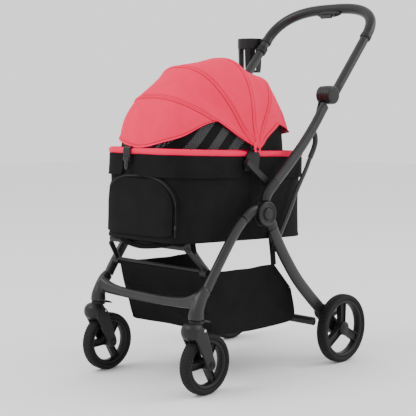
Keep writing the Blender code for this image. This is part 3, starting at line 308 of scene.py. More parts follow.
# ---- Wheel rims -----------------------------------------------------------------------------
# Glass-filled nylon rims: a band under the tyre, a hub, and three spokes that are open channels
# with a raised lip all round. The rear ones are capped by a domed, softly three-cornered boss.
NYLON = moulded("moulded_nylon", (0.003, 0.003, 0.003), (0.014, 0.014, 0.015), 0.46, 0.0003,
    Specular_IOR_Level=0.26)


def offset_outline(outline, inset):
    """A closed outline of (y, z) points moved inwards by `inset` along its normals."""
    o = np.array(outline, float)
    t = np.roll(o, -1, 0) - np.roll(o, 1, 0)
    t /= np.maximum(np.linalg.norm(t, axis=1), 1e-9)[:, None]
    turn = np.sign(np.sum(o[:, 0] * np.roll(o[:, 1], -1) - np.roll(o[:, 0], -1) * o[:, 1]))
    return o + np.stack([-t[:, 1], t[:, 0]], 1) * turn * inset


def slab(outline, rows, middle=None):
    """A plate in the (y, z) plane: each row (x, inset) repeats the outline moved inwards, and both
    ends close on the outline's middle."""
    o = np.array(outline, float)
    heart = o.mean(0) if middle is None else np.array(middle)
    rings = [np.column_stack([np.full(len(o), x), offset_outline(o, inset)]) for x, inset in rows]
    ends = [np.broadcast_to((rows[k][0], *heart), (len(o), 3)) for k in (0, -1)]
    return np.stack([ends[0], *rings, ends[1]]), False, True


def bar_outline(y0, z0, r0, y1, z1, r1, steps=14):
    """A bar with round ends of radius r0 and r1: two arcs joined by their outer tangents."""
    way = math.atan2(z1 - z0, y1 - y0)
    lean = math.asin((r0 - r1) / math.hypot(y1 - y0, z1 - z0))
    a = np.linspace(way + math.pi / 2 - lean, way + 1.5 * math.pi + lean, steps)
    b = np.linspace(way - math.pi / 2 + lean, way + math.pi / 2 - lean, steps)
    side = np.linspace(0, 1, 8)[1:-1, None]
    first = np.stack([y0 + r0 * np.cos(a), z0 + r0 * np.sin(a)], 1)
    last = np.stack([y1 + r1 * np.cos(b), z1 + r1 * np.sin(b)], 1)
    return np.concatenate([first, first[-1] + (last[0] - first[-1]) * side, last,
        last[-1] + (first[0] - last[-1]) * side])


for where, side, centre, radius, width, s in WHEELS:
    h, seat = width / 2, radius - 0.0182
    rear = where == "rear"
    half = [(h * 0.62, seat), (h * 0.76, seat + 0.0006), (h * 0.8, seat - 0.003), (h * 0.72, seat - 0.006),
        (h * 0.5, seat - 0.009)]
    band = rounded_profile(both_ways(half, (0, seat), (0, seat - 0.01)), 0.002, 4)
    grids = [(spun(band, centre, 128)[0][:-1], True, True)]
    hub_r, hub_h = (0.02, 0.014) if rear else (0.015, 0.0165)
    grids.append(drum(-hub_h, hub_h, hub_r, centre, 64, 0.0025))
    first = 90 if rear else 60
    for k in range(3):
        a = math.radians(first + 120 * k)
        inner, outer = hub_r * 0.35, seat - 0.0055
        near, far = (0.0105, 0.0125) if rear else (0.008, 0.01)
        end = outer - far * 0.7
        dy, dz = math.cos(a), math.sin(a)
        o = bar_outline(centre[1] + dy * inner, centre[2] + dz * inner, near, centre[1] + dy * end,
            centre[2] + dz * end, far)
        t = 0.0086
        lip = [(t - 0.0055, 0.0045), (t - 0.005, 0.0036), (t - 0.0004, 0.003), (t, 0.0026), (t, 0.0008),
            (t - 0.0008, 0)]
        plate, _, wrap = slab(o, [(-at, inset) for at, inset in lip] + lip[::-1])
        plate[..., 0] += centre[0]
        grids.append((plate, False, wrap))
    if rear:
        turn = np.linspace(0, 2 * math.pi, 72, endpoint=False)
        cap = []
        for reach, lift in ((0.0, 0.0175), (0.35, 0.0174), (0.6, 0.0168), (0.8, 0.0155), (0.93, 0.0135),
                (1.0, 0.01), (1.0, 0.004), (0.0, 0.004)):
            rr = 0.0185 * reach * (1 + 0.1 * reach * np.cos(3 * (turn - math.radians(first))))
            cap.append(np.stack([np.full(72, s * lift), rr * np.cos(turn), rr * np.sin(turn)], 1))
        grids.append((np.stack(cap) + np.array(centre), False, True))
    piece(f"{where}_rim_moulding_{side}", grids, NYLON, f"{where}_wheel_{side}", [f"{where}_rim_{side}"],
        angle=35)

# ---- Front casters --------------------------------------------------------------------------
# Each fork is one moulding: a rounded hood over the wheel's front, blending into two flat arms
# that reach back to the axle. A bright pin shows at its pivot and a ringed bolt on the axle.
HOOD_PLASTIC = moulded("satin_plastic", (0.004, 0.004, 0.004), (0.02, 0.02, 0.021), 0.42, 0.00025,
    Specular_IOR_Level=0.3)


def fused(obj, voxel, rounds, cut_by=()):
    """Closes overlapping forms into one skin: cut, voxel remesh, then a smooth that rounds their joins."""
    for tool in cut_by:
        mod = obj.modifiers.new("room", "BOOLEAN")
        mod.operation = "DIFFERENCE"
        mod.object = tool
    mod = obj.modifiers.new("skin", "REMESH")
    mod.mode = "VOXEL"
    mod.voxel_size = voxel
    mod.use_smooth_shade = True
    mod = obj.modifiers.new("round", "SMOOTH")
    mod.factor = 0.5
    mod.iterations = rounds
    view = bpy.context.evaluated_depsgraph_get()
    made = bpy.data.meshes.new_from_object(obj.evaluated_get(view))
    obj.modifiers.clear()
    old, obj.data = obj.data, made
    made.name = old.name
    for tool in cut_by:
        bpy.data.objects.remove(tool)


def cutter(name, grids):
    """A closed form that is only used to make room in another."""
    return piece(name, grids, NYLON, "frame")


def full(x, power):
    """A sine or cosine made a superellipse's: its sign times its size to the power 2/power."""
    return np.sign(x) * np.abs(x) ** (2 / power)


def egg(centre, radii, power=2.3, rows=28, columns=40):
    """A superellipsoid: the unit direction's parts made full, scaled by the three radii."""
    u = np.linspace(0, math.pi, rows)[:, None]
    v = np.linspace(0, 2 * math.pi, columns, endpoint=False)[None, :]
    x = full(np.sin(u), power) * full(np.cos(v), power) * radii[0]
    y = full(np.sin(u), power) * full(np.sin(v), power) * radii[1]
    z = full(np.cos(u), power) * radii[2] * np.ones_like(v)
    return np.stack([x, y, z], -1) + np.array(centre), False, True


STEEL, steel_tree, steel_shader = finish_of("bright_steel", Base_Color=(0.45, 0.45, 0.46, 1), Metallic=1.0)
worn = use(steel_tree, grain, **{"Pits per metre": 1500.0, "Cloud per metre": 60.0})
steel_tree.links.new(calc(steel_tree, "MULTIPLY_ADD", worn["Cloud"], 0.3, 0.18),
    steel_shader.inputs["Roughness"])

for side, s in SIDES:
    x = s * FRAME_X
    grids = [egg((x, -0.397, 0.1755), (0.0275, 0.03, 0.0255))]
    for t in (-1, 1):
        arm = bar_outline(-0.3885, 0.166, 0.0215, -0.3515, 0.0825, 0.0145)
        a, b = sorted((x + t * 0.0198, x + t * 0.0282))
        rows = [(a, 0.002), (a + 0.0008, 0), (b - 0.0016, 0), (b, 0.0018)]
        grids.append(slab(arm, rows))
    room = cutter("wheel_room", [drum(-0.0192, 0.0192, 0.087, (x, *FRONT_AXLE), 128)])
    top = cutter("roof_room", [slab([(-0.5, 0.1985), (-0.3, 0.1985), (-0.3, 0.26), (-0.5, 0.26)],
        [(x - 0.05, 0), (x + 0.05, 0)])])
    fork = piece(f"fork_moulding_{side}", grids, HOOD_PLASTIC, f"fork_{side}", [f"fork_{side}"])
    fused(fork, 0.0016, 6, (room, top))
    pins = []
    for t in (-1, 1):
        pins.append(spun(rounded_profile([(t * 0.024, 0), (t * 0.024, 0.0042), (t * 0.0292, 0.0042),
            (t * 0.0296, 0)], 0.001), (x, -0.378, 0.178), 32))
    piece(f"fork_pin_{side}", pins, STEEL, f"fork_{side}")
    bolt = []
    for t in (-1, 1):
        ring = [(t * 0.0262, 0), (t * 0.0262, 0.01), (t * 0.03, 0.01), (t * 0.0302, 0.0078),
            (t * 0.0296, 0.0074), (t * 0.0296, 0.0062), (t * 0.031, 0.0058), (t * 0.031, 0.0032),
            (t * 0.0292, 0.003), (t * 0.0292, 0)]
        bolt.append(spun(rounded_profile(ring, 0.0005, 3), (x, *FRONT_AXLE), 48))
    piece(f"fork_axle_cap_{side}", bolt, NYLON, f"fork_{side}")
    collar = rounded_profile([(0.0, 0), (0.0, 0.0196), (0.0052, 0.0206), (0.006, 0.019), (0.0085, 0.019),
        (0.0085, 0)], 0.0008, 3)
    a = np.linspace(0, 2 * math.pi, 64, endpoint=False)
    stack = np.stack([np.stack([x + r * np.cos(a), -0.383 + r * np.sin(a), np.full(64, 0.1942 + z)], -1)
        for z, r in collar])
    piece(f"swivel_collar_{side}", [(stack, False, True)], NYLON, f"swivel_{side}",
        [f"caster_swivel_{side}"])

# ---- Front crossbar -------------------------------------------------------------------------
# One magnesium casting, painted matt: two sockets for the legs and casters, and a waisted bar
# that swells into them with wide soft fillets.
FRAME_PAINT = moulded("matt_frame_paint", (0.006, 0.006, 0.0065), (0.034, 0.034, 0.036), 0.36, 0.00018,
    1300.0, Specular_IOR_Level=0.34)


def bent(points, steps=8):
    """A Catmull-Rom curve: between two points, half of (2b + (c-a)t + (2a-5b+4c-d)t2 + (3b-a-3c+d)t3)."""
    p = np.array(points, float)
    p = np.vstack([2 * p[0] - p[1], p, 2 * p[-1] - p[-2]])
    t = np.linspace(0, 1, steps, endpoint=False)[None, :, None]
    a, b, c, d = p[:-3, None], p[1:-2, None], p[2:-1, None], p[3:, None]
    cubic = (3 * b - a - 3 * c + d) * t ** 3
    q = 0.5 * (2 * b + (c - a) * t + (2 * a - 5 * b + 4 * c - d) * t ** 2 + cubic)
    return np.vstack([q.reshape(-1, p.shape[1]), p[-2]])


def run_of(path):
    """The length along a path up to each of its points."""
    return np.append(0, np.linalg.norm(np.diff(path, axis=0), axis=1).cumsum())


def evened(path, count):
    """A path drawn again with points at even lengths, and those lengths."""
    run = run_of(path)
    even = np.linspace(0, run[-1], count)
    return np.stack([np.interp(even, run, path[:, k]) for k in range(path.shape[1])], 1), even


def rod(path, half, deep, side=(1, 0, 0), power=2.0, columns=32, blunt=0.0012):
    """A rod along a path with a superelliptic section: half-width `half` along `side` and `deep`
    across it, each one value or one per point. Its ends are flat with a rounded edge."""
    path = np.array(path, float)
    t = np.gradient(path, axis=0)
    t /= np.linalg.norm(t, axis=1)[:, None]
    s = np.array(side, float) - t * (t @ np.array(side, float))[:, None]
    s /= np.linalg.norm(s, axis=1)[:, None]
    up = np.cross(t, s)
    a = np.linspace(0, 2 * math.pi, columns, endpoint=False)
    c, d = full(np.cos(a), power), full(np.sin(a), power)
    half = np.broadcast_to(half, len(path))[:, None, None]
    deep = np.broadcast_to(deep, len(path))[:, None, None]
    flare = half * s[:, None] * c[None, :, None] + deep * up[:, None] * d[None, :, None]
    rows = path[:, None] + flare
    size = float(half.ravel()[0])
    shrink = 1 - min(0.5, blunt / size)
    first = [path[0] + 0 * flare[0], path[0] + flare[0] * shrink, path[0] + t[0] * blunt + flare[0]]
    last = [path[-1] - t[-1] * blunt + flare[-1], path[-1] + flare[-1] * shrink, path[-1] + 0 * flare[-1]]
    return np.stack([*first, *rows[1:-1], *last]), False, True


grids = []
foot = [(-0.383, 0.2037), (-0.383, 0.218), (-0.38, 0.229), (-0.3711, 0.2475), (-0.361, 0.2632),
    (-0.3455, 0.2762)]
for side, s in SIDES:
    path = bent([(s * FRAME_X, y, z) for y, z in foot], 6)
    grow = np.linspace(0, 1, len(path))
    grids.append(rod(path, 0.0208 - 0.0085 * grow, 0.0212 - 0.005 * grow, power=2.2))
xs = np.linspace(-0.196, 0.196, 65)
u = np.abs(xs / 0.196)
bar = np.stack([xs, -0.3725 + 0 * xs, 0.237 + 0.006 * u ** 2 + 0.01 * u ** 6], 1)
grids.append(rod(bar, 0.0122 + 0.003 * u ** 4, 0.0132 + 0.01 * u ** 5, side=(0, 1, 0), power=2.5))
crossbar = piece("crossbar_casting", grids, FRAME_PAINT, "frame", ["front_crossbar"])
fused(crossbar, 0.0021, 14)

# ---- Side frames ----------------------------------------------------------------------------
# Drawn oval steel tubes with moulded elbows at the hub. The tubes butt on the elbows with a fine
# dark seam; the tubes carry the matt frame paint and the elbows a satin plastic.
HUB = (-0.124, 0.4622)


def at_side(x, line, steps):
    """A line of (y, z) points as a curve in the plane at x."""
    return bent([(x, y, z) for y, z in line], steps)


LINES = {
    "front_leg": [(-0.2035, 0.4503), (-0.2293, 0.4265), (-0.2525, 0.4), (-0.2907, 0.351), (-0.3283, 0.3005),
                  (-0.3445, 0.2765)],
    "upper_tube": [(-0.074, 0.5455), (-0.0321, 0.58), (0.0345, 0.6385), (0.09, 0.696), (0.1405, 0.757)],
    "rear_leg": [(-0.086, 0.419), (-0.0812, 0.4102), (-0.0663, 0.383), (-0.0263, 0.3235), (0.0238, 0.261),
                 (0.08, 0.206), (0.13, 0.162)]}
DEPTHS = {"front_leg": 0.0142, "upper_tube": 0.015, "rear_leg": 0.0178}
for side, s in SIDES:
    x = s * FRAME_X
    for name, line in LINES.items():
        path = at_side(x, line, 12)
        body = "rear_frame" if name == "rear_leg" else "frame"
        piece(f"{name}_tube_{side}", [rod(path, 0.01, DEPTHS[name], power=2.35, columns=48)], FRAME_PAINT,
            body, [f"{name}_{side}"])
    elbow = at_side(x, [(-0.13, 0.47), (-0.156, 0.473), (-0.178, 0.4668), (-0.203, 0.4508)], 8)
    housing = rounded_profile([(s * -0.01, 0), (s * -0.01, 0.0346), (s * 0.0002, 0.035), (s * 0.0002, 0)],
        0.002)
    room = cutter("ring_room", [drum(s * 0.0003, s * 0.03, 0.0362, (x, *HUB), 96)])
    shell = piece(f"hub_housing_shell_{side}", [rod(elbow, 0.0106, 0.0152, power=2.3),
        spun(housing, (x, *HUB), 96)], HOOD_PLASTIC, "frame", [f"hub_housing_{side}"])
    fused(shell, 0.0013, 3, (room,))
    neck = at_side(x, [(-0.118, 0.485), (-0.114, 0.503), (-0.103, 0.5205), (-0.0742, 0.5452)], 8)
    room = cutter("neck_room", [drum(-0.05, 0.05, 0.0358, (x, *HUB), 96)])
    shell = piece(f"upper_elbow_shell_{side}", [rod(neck, 0.0106, 0.0158, power=2.3, columns=48)],
        HOOD_PLASTIC, "frame", [f"upper_elbow_{side}"])
    fused(shell, 0.0013, 2, (room,))

# ---- Hubs -----------------------------------------------------------------------------------
# The folding hub of each side: a disc on the rear leg's socket, with a rounded rim, a shallow
# dished ring and a raised release button in its middle.
for side, s in SIDES:
    x = s * FRAME_X
    face = [(0.001, 0), (0.001, 0.034), (0.016, 0.0344), (0.0186, 0.0325), (0.019, 0.03), (0.0182, 0.0278),
        (0.0164, 0.0268), (0.016, 0.0215), (0.0172, 0.0203), (0.0172, 0.019), (0.0156, 0.0182),
        (0.0156, 0.017), (0.0196, 0.016), (0.0216, 0.0135), (0.0222, 0.0)]
    face = rounded_profile([(s * a, r) for a, r in face], 0.001, 4)
    tail = at_side(x, [(-0.118, 0.4502), (-0.104, 0.442), (-0.093, 0.4318), (-0.0863, 0.4196)], 8)
    room = cutter("disc_room", [drum(s * -0.03, s * 0.0011, 0.036, (x, *HUB), 96)])
    swell = piece(f"hub_tail_{side}", [rod(tail, 0.0108, np.linspace(0.02, 0.0186, 25), power=2.3,
        columns=48)], HOOD_PLASTIC, "rear_frame")
    fused(swell, 0.0013, 2, (room,))
    piece(f"hub_disc_{side}", [spun(face, (x, *HUB), 128)], HOOD_PLASTIC, "rear_frame",
        [f"hub_ring_{side}"], angle=30)

# ---- Rear axle ------------------------------------------------------------------------------
# Moulded brackets at the feet of the rear legs carry the wheels, and a flat oval tube with a
# rolled upper edge ties them together.


def soft_edges(a, b):
    """The rows of a slab from a to b with rounded edges, 3 mm deep."""
    return [(a, 0.003), (a + 0.001, 0.001), (a + 0.003, 0), (b - 0.003, 0), (b - 0.001, 0.001), (b, 0.003)]


for side, s in SIDES:
    x = s * FRAME_X
    a, b = sorted((s * 0.1862, s * 0.2072))
    foot = slab(bar_outline(0.1335, 0.156, 0.0215, *REAR_AXLE, 0.021), soft_edges(a, b))
    leg = at_side(x, LINES["rear_leg"], 12)
    room = cutter("leg_room", [rod(leg, 0.0103, 0.0182, power=2.35, columns=48)])
    # The lug's faces stand 0.5 mm inside the foot's, because the cut fails where faces coincide.
    lug = slab(bar_outline(0.1335, 0.15, 0.019, 0.118, 0.1275, 0.0165), soft_edges(a + 0.0005, b - 0.0005))
    bracket = piece(f"axle_bracket_{side}", [foot, lug], HOOD_PLASTIC, "rear_frame",
        [f"wheel_bracket_{side}"])
    fused(bracket, 0.0015, 3, (room,))
    stub = rounded_profile([(s * 0.206, 0), (s * 0.206, 0.0105), (s * 0.212, 0.0105), (s * 0.2122, 0)],
        0.001)
    piece(f"axle_spacer_{side}", [spun(stub, (0, *REAR_AXLE), 40)], NYLON, "rear_frame")
tie = rod(np.linspace((-0.1855, 0.116, 0.1255), (0.1855, 0.116, 0.1255), 24), 0.0092, 0.0122,
    side=(0, 1, 0), power=2.2, columns=40)
piece("rear_tie_tube", [tie], FRAME_PAINT, "rear_frame", ["rear_cross_tube"])
STRUT_FOOT, STRUT_TOP = (-0.048, 0.356), (0.112, 0.687)
for side, s in SIDES:
    x = s * 0.1725
    line = [STRUT_FOOT, (0.015, 0.456), (0.048, 0.514), (0.0865, 0.571), (0.1075, 0.607)]
    bend = [(0.1063, 0.6056), (0.123, 0.633), (0.13, 0.656), (0.124, 0.676), STRUT_TOP]
    eye = drum(s * -0.005, s * 0.011, 0.0095, (x, *STRUT_FOOT), 40, 0.001)
    top_eye = drum(s * -0.0055, s * 0.0058, 0.0095, (x, *STRUT_TOP), 40, 0.001)
    piece(f"strut_bar_{side}", [rod(at_side(x, line, 8), 0.005, 0.007, columns=24), eye], FRAME_PAINT,
        f"strut_{side}", [f"rear_strut_{side}"])
    piece(f"strut_elbow_{side}", [rod(at_side(x, bend, 8), 0.0062, 0.0086, power=2.3, columns=28), top_eye],
        HOOD_PLASTIC, f"strut_{side}")

# ---- Handle ---------------------------------------------------------------------------------
# One bent aluminium tube in a stitched foam sleeve, with a moulded ring at each end of the sleeve.
# The release under its middle is a tapered housing with a squeeze bar and a small safety button.
SLOPE = math.radians(49)
KNOB = np.array((0.0, 0.153, 0.786))
COLLAR = np.array((0.0, 0.3315, 0.96))
UP_HANDLE = np.array((0.0, math.cos(SLOPE), math.sin(SLOPE)))
OUT_HANDLE = np.array((0.0, -math.sin(SLOPE), math.cos(SLOPE)))
REACH = float((COLLAR - KNOB) @ UP_HANDLE)
SLEEVE_FOAM = moulded("sleeve_foam", (0.003, 0.003, 0.003), (0.014, 0.014, 0.014), 0.36, 0.0006, 420.0,
    Specular_IOR_Level=0.34)


def on_handle(along, across=0.0):
    """A point of the handle's plane, `along` past its collars and `across` from its middle."""
    return COLLAR + UP_HANDLE * along + np.array((across, 0, 0))


def bell(x, width):
    """A smooth bump, 1 at x = 0: e to the minus (x / width) squared."""
    return np.exp(-(x / width) ** 2)


turn = np.linspace(0, math.pi, 81)
width = FRAME_X * full(np.cos(turn), 2.9)
rise = 0.004 + 0.126 * np.abs(np.sin(turn)) ** (2 / 2.3)
bow = COLLAR + UP_HANDLE * rise[:, None] + np.array((1.0, 0, 0)) * width[:, None]
bow, even = evened(bow, 161)
legs = [np.linspace(on_handle(0.031 - REACH, x), on_handle(-0.004, x), 12) for x in (FRAME_X, -FRAME_X)]
tube = np.concatenate([legs[0], bow, legs[1][::-1]])
piece("handle_tube_bar", [rod(tube, 0.0135, 0.0135, side=OUT_HANDLE, columns=40)], FRAME_PAINT, "handle",
    ["handle_tube"])
thick = 0.016 - 0.0006 * bell(even - 0.012, 0.0018) - 0.0006 * bell(even - even[-1] + 0.012, 0.0018)
sleeve, _, _ = rod(bow, thick, thick, side=OUT_HANDLE, columns=64)
a = np.linspace(0, 2 * math.pi, 64, endpoint=False)
seam = bell(np.minimum(np.abs(a - math.pi / 2), np.abs(a - 1.5 * math.pi)), 0.07)
heart = sleeve.mean(1, keepdims=True)
sleeve = heart + (sleeve - heart) * (1 - 0.035 * seam[None, :, None])
piece("grip_sleeve_foam", [(sleeve, False, True)], SLEEVE_FOAM, "handle", ["grip_sleeve"])
rings = []
for x in (FRAME_X, -FRAME_X):
    line = np.linspace(on_handle(-0.0075, x), on_handle(0.0075, x), 9)
    size = 0.0022 + np.array((0.0135, 0.0146, 0.0149, 0.015, 0.015, 0.015, 0.0149, 0.0146, 0.0139))
    rings.append(rod(line, size, size, columns=48, blunt=0.0006))
piece("grip_end_rings", rings, HOOD_PLASTIC, "handle")
top = on_handle(0.13)
line = np.linspace(-0.046, 0.046, 33)
near = np.clip(1 - np.abs(line / 0.046) ** 3, 0.02, 1)
path = top - UP_HANDLE * 0.0187 + -OUT_HANDLE * 0.001 + np.stack([line, 0 * line, 0 * line], 1)
housing = rod(path, 0.004 + 0.006 * near, 0.005 + 0.0046 * near, side=UP_HANDLE, power=3.4, columns=40)
room = cutter("grip_room", [rod(bow, 0.0162, 0.0162, side=OUT_HANDLE, columns=40)])
slit = cutter("squeeze_room", [egg(top - UP_HANDLE * 0.0322 + np.array((-0.004, 0, 0)),
    (0.024, 0.0135, 0.008), 5.0)])
shell = piece("release_housing_shell", [housing], HOOD_PLASTIC, "handle", ["release_housing"])
fused(shell, 0.001, 2, (room, slit))

# The knuckle of each side: two discs either side of the frame tube's eye, bridged by the socket
# that holds the handle's stem, and a short arm down to the strut.
for side, s in SIDES:
    x = s * FRAME_X
    outer = rounded_profile([(s * 0.0108, 0), (s * 0.0108, 0.0262), (s * 0.0225, 0.0262),
        (s * 0.024, 0.0225), (s * 0.0243, 0)], 0.003, 6)
    inner = drum(s * -0.024, s * -0.0108, 0.0262, (x, *KNOB[1:]), 96, 0.0035, 6)
    knob = [spun(outer, (x, *KNOB[1:]), 96), inner]
    line = np.linspace(on_handle(0.006 - REACH, x), on_handle(0.046 - REACH, x), 14)
    knob.append(rod(line, np.linspace(0.021, 0.017, 14), np.linspace(0.0185, 0.0168, 14), power=2.6,
        columns=48, blunt=0.002))
    lo, hi = sorted((s * 0.18, s * 0.185))
    knob.append(slab(bar_outline(KNOB[1], KNOB[2], 0.015, *STRUT_TOP, 0.0085),
        [(lo, 0.0008), (lo + 0.0008, 0), (hi, 0)]))
    room = cutter("eye_room", [drum(-0.0106, 0.0106, 0.027, (x, *KNOB[1:]), 96, 0.0005, 3)])
    shell = piece(f"handle_knuckle_shell_{side}", knob, HOOD_PLASTIC, "handle", [f"handle_knuckle_{side}"])
    fused(shell, 0.0012, 3, (room,))

# ---- Cup holder -----------------------------------------------------------------------------
# An open moulded basket clamped to the left stem: a deep top band, six tapering ribs, a flat base.


def upright(profile, centre, sides=72):
    """A grid turned round a vertical line: rows are (radius, height)."""
    p = np.array(profile, float)
    a = np.linspace(0, 2 * math.pi, sides, endpoint=False)
    x, y = p[:, :1] * np.cos(a) + centre[0], p[:, :1] * np.sin(a) + centre[1]
    return np.stack([x, y, np.broadcast_to(p[:, 1:], x.shape)], -1)


CUP = (-0.256, 0.316)
RIB = ((0.0338, 0.866), (0.0348, 0.885), (0.0368, 0.945))
band = rounded_profile([(0.0365, 0.945), (0.0388, 0.938), (0.04, 0.941), (0.04, 0.969), (0.0396, 0.972),
    (0.0368, 0.972), (0.0366, 0.969), (0.0365, 0.945)], 0.001, 4)
base = rounded_profile([(0.0, 0.8622), (0.0344, 0.8622), (0.0356, 0.8655), (0.0352, 0.87), (0.0325, 0.87),
    (0.0, 0.869)], 0.0012, 4)
grids = [(upright(band[:-1], CUP), True, True), (upright(base, CUP), False, True)]
for k in range(6):
    a = math.radians(60 * k)
    across = (-math.sin(a), math.cos(a), 0)
    line = [(CUP[0] + r * math.cos(a), CUP[1] + r * math.sin(a), z) for r, z in RIB]
    grids.append(rod(bent(line, 6), np.linspace(0.0072, 0.0098, 13), 0.0019, side=across, power=3.0,
        columns=24))
hold = on_handle(-0.036, -FRAME_X)
grids.append(rod(np.linspace(hold - UP_HANDLE * 0.011, hold + UP_HANDLE * 0.011, 7), 0.0174, 0.0174,
    columns=40))
grids.append(rod(np.linspace((CUP[0] + 0.037, hold[1], hold[2]), (-0.204, hold[1], hold[2]), 6), 0.007,
    0.0095, side=(0, 1, 0), power=3.2, columns=28))
piece("cup_holder_moulding", grids, NYLON, "handle", ["cup_holder"])

# ---- Carrier cloth --------------------------------------------------------------------------
# A lift-off tub of black polyester over a foam core: near-upright walls with round corners, a
# bound bottom edge, and a second layer of cloth hanging as a skirt below the padded rim.
RIVET = np.array((0.0, -0.13, 0.638))
NOSE = math.radians(-2.3)


def tilted(p):
    """From the carrier's own axes at the rivets to the stroller's: a turn of NOSE about X."""
    x, y, z = p[..., 0], p[..., 1], p[..., 2]
    c, s = math.cos(NOSE), math.sin(NOSE)
    return np.stack([x, RIVET[1] + y * c - z * s, RIVET[2] + y * s + z * c], -1)


# weave: crossing threads on the cloth's own lengths, with slow creasing in them; its painted shade output
# darkens the cloth where the threads and creases dip and lightens it where they rise
weave, w_in, w_out = effect("weave", [("Thread", "Float", 0.0008), ("Crease per metre", "Float", 16.0)],
    [("Height", "Float"), ("Painted shade", "Float")])
flat = node(weave, "TexCoord")
parts = node(weave, "SeparateXYZ", {"Vector": flat.outputs["UV"]})
spacing = calc(weave, "DIVIDE", math.pi, w_in.outputs[0])
warp = calc(weave, "SINE", calc(weave, "MULTIPLY", parts.outputs[0], spacing))
weft = calc(weave, "SINE", calc(weave, "MULTIPLY", parts.outputs[1], spacing))
crease = node(weave, "TexNoise", {"Vector": flat.outputs["Object"], "Scale": w_in.outputs[1], "Detail": 5.0,
    "Roughness": 0.62, "Distortion": 0.6})
threads = calc(weave, "MULTIPLY", warp, weft)
weave.links.new(calc(weave, "MULTIPLY_ADD", threads, 0.12, crease.outputs["Fac"]), w_out.inputs["Height"])
# painted shade: the same threads and creases as the height, so the colour is darker in their hollows and
# lighter on their tops
weave.links.new(calc(weave, "MULTIPLY_ADD", threads, 0.22, crease.outputs["Fac"]), w_out.inputs["Painted shade"])


def woven(name, dark, light, rough, thread=0.0008, depth=0.002, **sockets):
    """Cloth between two tones, mixed by the weave's painted shade: darker in the hollows of its threads and
    creases, lighter on their tops.
    """
    material, tree, shader = finish_of(name, Roughness=rough, **sockets)
    cloth = use(tree, weave, Thread=thread)
    # the two tones are mixed by the weave's painted shade
    plain = mixed(tree, cloth["Painted shade"], (*dark, 1), (*light, 1))
    stitched = node(tree, "Attribute", attribute_name="seam").outputs["Fac"]
    shade = mixed(tree, stitched, plain, (dark[0] * 0.42, dark[1] * 0.4, dark[2] * 0.4, 1))
    tree.links.new(shade, shader.inputs["Base Color"])
    tree.links.new(bump(tree, cloth["Height"], 0.55, depth), shader.inputs["Normal"])
    return material


BLACK = woven("black_polyester", (0.0015, 0.0015, 0.0015), (0.009, 0.009, 0.0092), 0.8,
    Specular_IOR_Level=0.12)
PINK = woven("pink_polyester", (0.84, 0.002, 0.055), (1.0, 0.01, 0.095), 0.72, Specular_IOR_Level=0.12)
FRONT, REAR, HALF, TOP, BOTTOM = -0.27, 0.255, 0.157, -0.0223, -0.2523


def outline(half, front, rear, power=7.0, count=6000):
    """The tub from above, starting at the middle of its front and running to +X: a superellipse."""
    a = np.linspace(-math.pi / 2, 1.5 * math.pi, count)
    y = (front + rear) / 2 + (rear - front) / 2 * full(np.sin(a), power)
    p = np.stack([half * full(np.cos(a), power), y], 1)
    return p, run_of(p)


WALL, RUN = outline(HALF, FRONT, REAR)
AROUND = RUN[-1]


def on_wall(s, out, z):
    """A point of the tub's wall: `s` round its outline, `out` off it and `z` high. Arrays of any shape."""
    s, out, z = np.broadcast_arrays(s, out, z)
    x, y = (np.interp(s % AROUND, RUN, WALL[:, k]) for k in (0, 1))
    e = 0.004
    dx, dy = (np.interp((s + e) % AROUND, RUN, WALL[:, k]) - np.interp((s - e) % AROUND, RUN, WALL[:, k])
        for k in (0, 1))
    size = np.maximum(np.hypot(dx, dy), 1e-9)
    return tilted(np.stack([x + out * dy / size, y - out * dx / size, z], -1))


def ripple(u, v, seed, waves=9):
    """Slow irregular waving from -1 to 1: the mean of sines of random direction, size and phase."""
    r = np.random.default_rng(seed)
    total = 0
    for _ in range(waves):
        total = total + np.sin(u * r.uniform(-1, 1) + v * r.uniform(-1, 1) + r.uniform(0, 6.3))
    return total / waves * 1.6


side_at = float(np.interp(0.0, WALL[: len(WALL) // 2, 1], RUN[: len(WALL) // 2]))
s = np.linspace(0, AROUND, 361)[:-1][None, :]
bound = BOTTOM + 0.0056 + 0.005 * np.sin(np.linspace(-1.2, 1.3, 7))
heights = [[BOTTOM + 0.004, BOTTOM + 0.0016], bound, np.linspace(BOTTOM + 0.013, TOP, 46)]
heights = np.concatenate(heights)[:, None]
share = (heights - BOTTOM) / (TOP - BOTTOM)
waves = ripple(s * 42, heights * 34, 3)
hollow = -0.0035 * np.sin(math.pi * np.clip(share, 0, 1)) + 0.0018 * waves * np.sin(math.pi * share)
seams = 0
for mark in (side_at, AROUND - side_at):
    seams = seams - 0.0016 * bell(s - mark, 0.0016) + 0.0006 * bell(s - mark - 0.004, 0.0018)
binding = 0.0016 * bell(heights - BOTTOM - 0.0058, 0.0042)
shell = on_wall(s, hollow + seams * (share > 0.05) + binding, heights)
inner = [on_wall(s, -d, z) for d, z in ((0.0005, TOP + 0.0004), (0.0032, TOP), (0.004, TOP - 0.004),
    (0.0045, BOTTOM + 0.011))]
floor_under = [on_wall(s, d, BOTTOM + z) for d, z in ((-0.006, 0.0006), (-0.03, 0.0), (-0.08, 0.0004),
    (-0.15, 0.0))]
ends = [np.broadcast_to(tilted(np.array((0, -0.03, z))), (1, 360, 3)) for z in (BOTTOM, BOTTOM + 0.011)]
tub = np.concatenate([ends[0], *floor_under[::-1], shell, *inner, ends[1]])
piece("carrier_tub", [(tub, False, True)], BLACK, "carrier", ["carrier_body"], angle=60)


